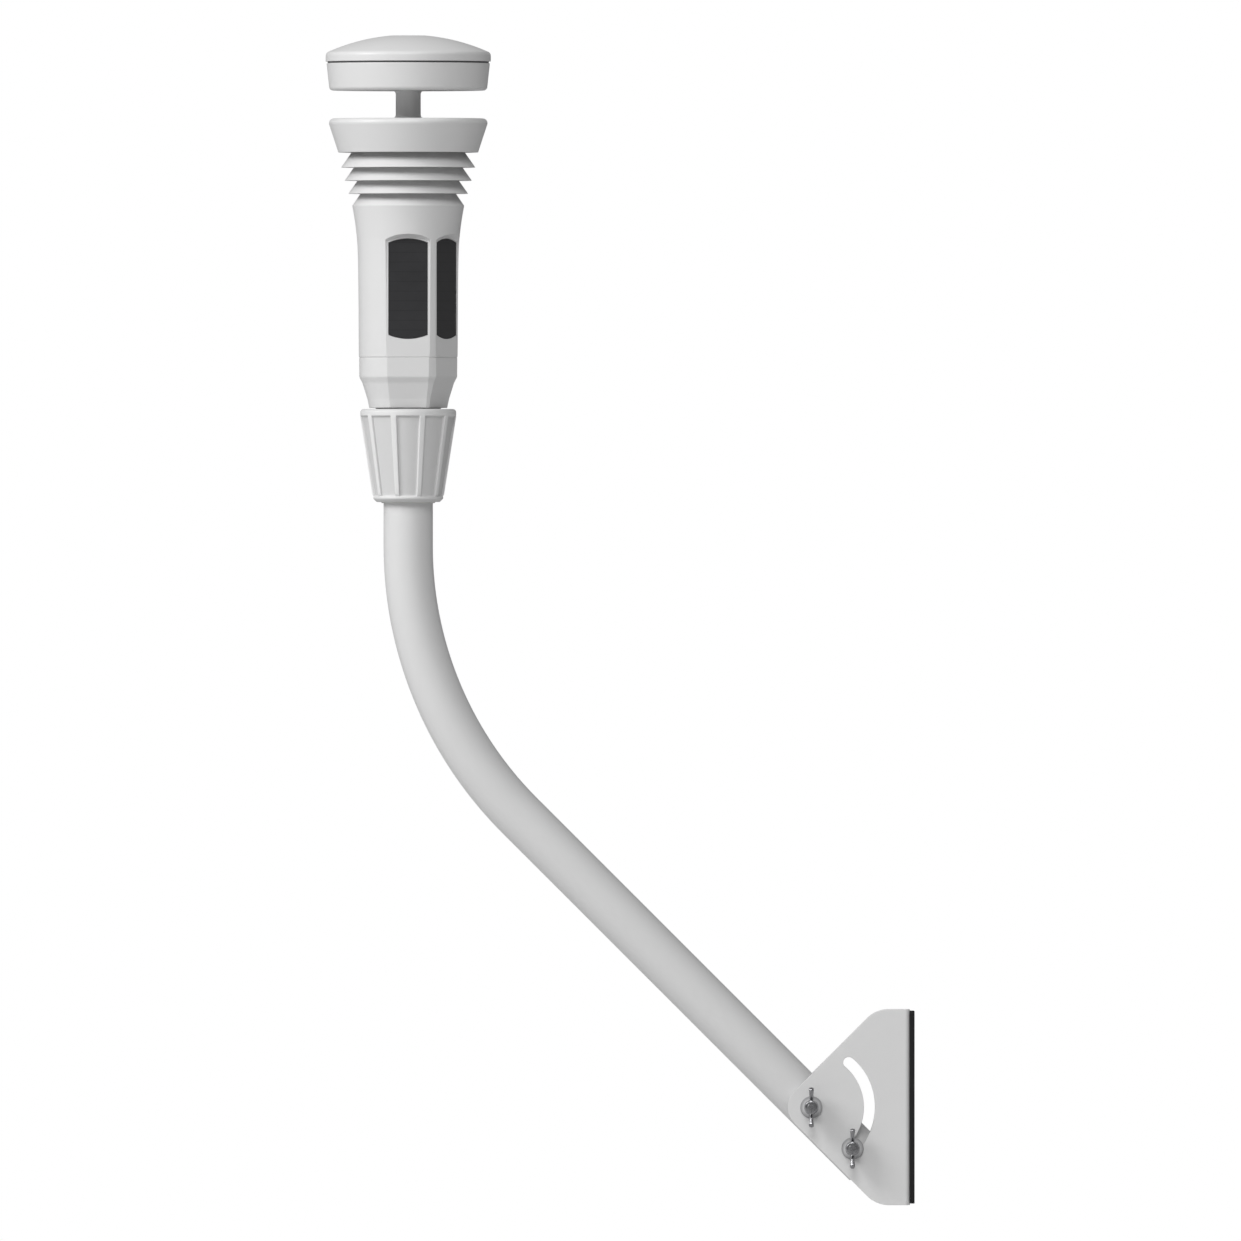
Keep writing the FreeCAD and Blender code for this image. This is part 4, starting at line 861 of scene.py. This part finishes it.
cells = Finish("solar_cell", Specular_IOR_Level=0.35, Coat_Roughness=0.15, Coat_Weight=0.1)
CELL_ROWS, PANEL_THICK = 160.0, 0.85
lines = cells.node("ShaderNodeMath", {"operation": "FRACT"}, {0: cells.along("Z") * CELL_ROWS})
finger = cells.ramp(lines, 0.02, 0.10)
mottle = cells.noise(90, 4, 0.6)
sheen = mottle * 0.4 + finger * 0.6
cells.feed(
    Base_Color=cells.blend(sheen, (0.015, 0.015, 0.016), (0.029, 0.029, 0.031)),
    Roughness=0.30 + 0.12 * mottle,
    Normal=cells.bump(cells.noise(700, 2), 0.00002, 0.3),
)
for index in range(FACETS):
    strip = plate([panel_line(0)], PANEL_THICK, 0.18)
    stand(strip, facing(index, BED + PANEL_THICK / 2))
    node = "solar_panel_%d" % (index + 1)
    even(piece(node + "_cells", strip, cells, "station", [node], AXIS))

# ---------------------------------------------------------------- electronics
# Inside the shell: seal, main board, cell and holder, aerial, cable and climate board.
# They keep their engineering shapes and only get the finish of the real things.


def dress(finish, *names):
    """Give CAD nodes a finish on all their slots."""
    for name in names:
        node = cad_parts[name]
        if not node.data.materials:
            node.data.materials.append(finish.material)
        for index in range(len(node.data.materials)):
            node.data.materials[index] = finish.material


seal = Finish("seal_rubber", Specular_IOR_Level=0.4)
seal.feed(
    Base_Color=seal.blend(seal.noise(80), (0.014, 0.014, 0.015), (0.028, 0.028, 0.03)),
    Roughness=0.5 + 0.2 * seal.noise(300),
)
mask = Finish("board_green", Specular_IOR_Level=0.5)
settings, values = {"feature": "DISTANCE_TO_EDGE"}, {"Vector": mask.spot, "Scale": 420.0}
tracks = mask.node("ShaderNodeTexVoronoi", settings, values)
copper = mask.ramp(tracks, 0.03, 0.09)
mask.feed(
    Base_Color=mask.blend(copper, (0.05, 0.26, 0.10), (0.012, 0.10, 0.04)),
    Roughness=0.3 + 0.15 * copper,
    Normal=mask.bump(copper, 0.00004, 0.4),
)
sleeve_blue = Finish("cell_sleeve", Specular_IOR_Level=0.5)
shrink = sleeve_blue.noise(70, 3)
sleeve_blue.feed(
    Base_Color=sleeve_blue.blend(shrink, (0.03, 0.10, 0.32), (0.04, 0.13, 0.38)),
    Roughness=0.25 + 0.15 * shrink,
)
moulding = Finish("holder_black", Specular_IOR_Level=0.4)
matt = moulding.noise(1500, 3)
moulding.feed(
    Base_Color=moulding.blend(matt, (0.016, 0.016, 0.017), (0.026, 0.026, 0.027)),
    Roughness=0.45 + 0.2 * matt,
)
bronze = Finish("spring_wire", Metallic=1.0)
tarnish = bronze.noise(400, 3)
bronze.feed(
    Base_Color=bronze.blend(tarnish, (0.50, 0.32, 0.12), (0.72, 0.50, 0.22)),
    Roughness=0.25 + 0.2 * tarnish,
)
jacket = Finish("cable_black", Specular_IOR_Level=0.4)
scuff = jacket.noise(300, 3)
jacket.feed(
    Base_Color=jacket.blend(scuff, (0.012, 0.012, 0.012), (0.03, 0.03, 0.03)),
    Roughness=0.4 + 0.2 * scuff,
)
dress(seal, "body_seal")
dress(mask, "main_board", "climate_board")
dress(sleeve_blue, "battery")
dress(moulding, "battery_holder")
dress(bronze, "antenna")
dress(jacket, "sensor_harness")

# ---------------------------------------------------------------- louvres
# Three conical louvres round the temperature sensor, each wider than the last.
# Thin sharp drip edges, light grey plastic, stacked on three hollow posts.

LOUVRES = [("fin_lower", 588.1, 38.6, 596.5), ("fin_middle", 596.5, 41.0, 605.0)]
LOUVRES += [("fin_upper", 605.0, 43.3, None)]
RISE, THICK, SLOPE = 12, 1.5, 0.7


def around(radius, *angles):
    """Places on a circle about the station's axis, angles in degrees."""
    turns = [math.radians(angle) for angle in angles]
    return [(radius * math.cos(a), radius * math.sin(a)) for a in turns]


def with_posts(made, low, high, sink=0.6):
    """Add the round posts that the louvre screws run through."""
    for x, y in around(22, 30, 150, 270):
        post = [(1.7, low - sink, 0), (3, low - sink, 0), (3, high, 0.3), (1.7, high, 0.2)]
        absorb(made, stand(lathe(soften(post, 20), 32), shift(x, y, 0)))
    return made


for name, low, radius, following in LOUVRES:
    ring, top = low + RISE, low + RISE + THICK
    section = [(radius, low, 0.18), (radius - SLOPE * (RISE + THICK), top, 0.6), (18, top, 0.3)]
    section += [(18, ring, 0.3), (radius - SLOPE * RISE - 1.6, ring, 1.2)]
    section += [(radius - SLOPE, low, 0.18)]
    louvre = lathe(soften(section), 160)
    if following:
        with_posts(louvre, top, following + RISE)
    piece(name + "_louvre", louvre, shell, "station", [name], AXIS, 40)
dress(steel, "stack_screws")

# ---------------------------------------------------------------- wind housing
# Inverted cone under the measuring gap: its polished top throws the sound back.
# One moulding, open beneath over the louvres, with a generous rounded rim.

GAP_LOW, GAP_HIGH = 636.6, 654.6
ROOF = GAP_LOW - 2.5
section = [(42.8, 614.7, 0.4), (45, 614.7, 0.5), (52.2, GAP_LOW, 3.0), (7.0, GAP_LOW, 0.2)]
section += [(7.0, ROOF, 0.2), (49.2, ROOF, 1.0)]
cone = with_posts(lathe(soften(section, 9), 160), ROOF, 618.5, -0.3)
piece("wind_housing_cone", cone, shell, "station", ["wind_housing"], AXIS, 40)

# ---------------------------------------------------------------- neck
# Hollow stem through the measuring gap, flared where it meets both plates.
# Same light grey plastic as the shell, clamped by a thin nut at each end.

neck_skin = Finish("neck_plastic", Specular_IOR_Level=0.45)
fibre = neck_skin.noise(900, 4, 0.6, (1, 1, 0.3))
drift = neck_skin.noise(30, 2)
neck_skin.feed(
    Base_Color=neck_skin.blend(drift, (0.68, 0.68, 0.68), (0.73, 0.73, 0.73)),
    Roughness=0.38 + 0.15 * fibre,
    Normal=neck_skin.bump(fibre, 0.00003, 0.5),
)
STEM, SPREAD, SPIGOT, STEM_BORE = 8.05, 2.5, 6.9, 5
stem = [(STEM_BORE, GAP_LOW - 9), (SPIGOT, GAP_LOW - 9), (SPIGOT, GAP_LOW)]
stem += arc(STEM + SPREAD, GAP_LOW + SPREAD, SPREAD, 270, 180, 8)
stem += [(STEM, 641), (STEM, 650)]
stem += arc(STEM + SPREAD, GAP_HIGH - SPREAD, SPREAD, 180, 90, 8)
stem += [(SPIGOT, GAP_HIGH), (SPIGOT, GAP_HIGH + 9), (STEM_BORE, GAP_HIGH + 9)]
stem = lathe(stem, 72)
piece("neck_post_stem", stem, neck_skin, "station", ["neck_post"], AXIS, 50)
dress(neck_skin, "neck_nuts")

# ---------------------------------------------------------------- tray
# Shallow tray over the measuring gap with four sounders looking down through it.
# Light grey like the shell; the sounders are aluminium cans with a fine mesh.

section = [(7, GAP_HIGH, 0.2), (50.7, GAP_HIGH, 2.5), (52.6, 672.2, 0.5), (50.4, 672.2, 0.3)]
section += [(48.8, 657.1, 1.0), (7, 657.1, 0.2)]
tray = lathe(soften(section, 9), 160)
tray = piece("tray_round", tray, shell, "station", ["tray"], AXIS, 40)
SOUNDER_R = 5.1
drills = []
for x, y in around(27, 45, 135, 225, 315):
    drill = lathe([(0, 650), (SOUNDER_R, 650), (SOUNDER_R, 660), (0, 660)], 48)
    drills.append(stand(drill, shift(x, y, 0)))
carve(tray, drills)

can = Finish("sounder_metal", Metallic=1.0)
weave = can.node("ShaderNodeTexVoronoi", {"feature": "F1"}, {"Vector": can.spot, "Scale": 1400.0})
dull = can.noise(300, 3)
can.feed(
    Base_Color=can.blend(dull, (0.55, 0.55, 0.55), (0.70, 0.70, 0.70)),
    Roughness=0.3 + 0.2 * dull,
    Normal=can.bump(weave, 0.00008, 0.7),
)
dress(can, "wind_sounders")
dress(mask, "sensor_board")

# ---------------------------------------------------------------- cap
# Domed cap that the rain drums on, over a dark gasket, with a milky light window
# let in flush at the crown and a piezo disc glued under it.

gasket = Finish("gasket_foam", Specular_IOR_Level=0.3)
foam = gasket.noise(900, 3)
gasket.feed(
    Base_Color=gasket.blend(foam, (0.09, 0.09, 0.09), (0.14, 0.14, 0.14)),
    Roughness=0.6 + 0.2 * foam,
)
dress(gasket, "cap_gasket")
SIDE, CROWN, INSIDE, SHOULDER, CENTRE = 53.2, 127.0, 124.8, 3.0, 563.5
WINDOW_R = 11.3
dome = [(WINDOW_R, 690.0), (WINDOW_R, 689.0), (8.3, 689.0), (8.3, 686.2), (18.5, 686.2)]
dome += [(18.5, 686.92)]
dome += [(r, CENTRE + math.sqrt(INSIDE ** 2 - r ** 2)) for r in range(20, 51, 3)]
dome += [(51, 677.4), (51, 673.5), (51.2, 673.3), (53, 673.3), (SIDE, 673.5)]
arc_x = SIDE - SHOULDER
arc_z = CENTRE + math.sqrt((CROWN - SHOULDER) ** 2 - arc_x ** 2)
steep = math.degrees(math.acos(arc_x / (CROWN - SHOULDER)))
flat = math.degrees(math.acos((WINDOW_R + 0.3) / CROWN))
dome += [(SIDE, arc_z - 0.3)] + arc(arc_x, arc_z, SHOULDER, 0, steep, 10)
dome += arc(0, CENTRE, CROWN, steep, flat, 24)[1:]
piece("cap_dome", lathe(dome, 160), shell, "station", ["cap"], AXIS, 30)

brass = Finish("piezo_brass", Metallic=1.0)
brushed = brass.noise(500, 3)
brass.feed(
    Base_Color=brass.blend(brushed, (0.60, 0.42, 0.16), (0.75, 0.56, 0.25)),
    Roughness=0.3 + 0.15 * brushed,
)
dress(brass, "rain_disc")
milk = Finish("diffuser_plastic", Specular_IOR_Level=0.45, Subsurface_Weight=0.1)
cloud = milk.noise(160, 3)
milk.feed(
    Base_Color=milk.blend(cloud, (0.68, 0.69, 0.70), (0.74, 0.75, 0.76)),
    Roughness=0.30 + 0.12 * cloud,
)
window = [(0, 687.4), (8, 687.4), (8, 689.0), (11.15, 689.0), (11.15, 689.85)]
window += [(11.0, 690.0), (0, 690.0)]
window = lathe(window, 96)
piece("light_window", window, milk, "station", ["light_diffuser"], AXIS, 50)

# ---------------------------------------------------------------- studio
# A pale seamless floor well below the arm, soft light from the front left and
# a weak even sky, with a plain white distance.

paper = Finish("studio_floor", Specular_IOR_Level=0.2)
fleck = paper.noise(3, 3)
paper.feed(
    Base_Color=paper.blend(fleck, (0.64, 0.64, 0.64), (0.68, 0.68, 0.68)),
    Roughness=0.7 + 0.1 * fleck,
)
floor_mesh = bmesh.new()
bmesh.ops.create_grid(floor_mesh, x_segments=12, y_segments=12, size=13.0)
piece("studio_floor", floor_mesh, paper, at=(-190, 0, -460))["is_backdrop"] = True

world = bpy.data.worlds.new("studio_sky")
bpy.context.scene.world = world
world.use_nodes = True
sky = world.node_tree
sky.nodes.clear()
ray = sky.nodes.new("ShaderNodeLightPath")
near, far_white = sky.nodes.new("ShaderNodeBackground"), sky.nodes.new("ShaderNodeBackground")
way, split, fade = (
    sky.nodes.new("ShaderNode" + kind) for kind in ("TexCoord", "SeparateXYZ", "MapRange")
)
fade.inputs["From Min"].default_value = -1
fade.inputs["To Min"].default_value = 0.05
fade.inputs["To Max"].default_value = 0.33
sky.links.new(way.outputs["Generated"], split.inputs[0])
sky.links.new(split.outputs["Z"], fade.inputs["Value"])
sky.links.new(fade.outputs[0], near.inputs[1])
for ground in (near, far_white):
    ground.inputs[0].default_value = (1, 1, 1, 1)
far_white.inputs[1].default_value = 1.0
choice, out = sky.nodes.new("ShaderNodeMixShader"), sky.nodes.new("ShaderNodeOutputWorld")
sky.links.new(ray.outputs["Is Camera Ray"], choice.inputs[0])
sky.links.new(near.outputs[0], choice.inputs[1])
sky.links.new(far_white.outputs[0], choice.inputs[2])
sky.links.new(choice.outputs[0], out.inputs[0])

middle = Vector((-189.3, 0, 313.3)) * MM


def softbox(name, azimuth, elevation, distance, wide, tall, power):
    """Area light that looks at the middle of the station from an angle."""
    lamp = bpy.data.lights.new(name, "AREA")
    lamp.shape = "RECTANGLE"
    lamp.size, lamp.size_y = wide, tall
    lamp.energy = power
    holder = bpy.data.objects.new(name, lamp)
    a, e = math.radians(azimuth), math.radians(elevation)
    way = Vector((math.sin(a) * math.cos(e), -math.cos(a) * math.cos(e), math.sin(e)))
    holder.location = middle + way * distance
    holder.rotation_mode = "QUATERNION"
    holder.rotation_quaternion = way.to_track_quat("Z", "Y")
    holder.visible_camera = False
    bpy.context.scene.collection.objects.link(holder)


softbox("key_left", -64, 34, 7.0, 3.0, 3.0, 300)
softbox("front_fill", -6, 40, 7.0, 3.4, 3.0, 190)

lens = bpy.data.cameras.new("camera")
lens.type = "PERSP"
lens.sensor_width = 36.0
camera_distance = 30.0
frame_width = 0.7992
lens.lens = lens.sensor_width * camera_distance / frame_width
lens.clip_end = 100
camera = bpy.data.objects.new("camera", lens)
camera.location = middle + Vector((0, -camera_distance, 0))
camera.rotation_euler = (math.pi / 2, 0, 0)
bpy.context.scene.collection.objects.link(camera)
bpy.context.scene.camera = camera
bpy.context.scene.view_settings.view_transform = "Standard"

low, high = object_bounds()
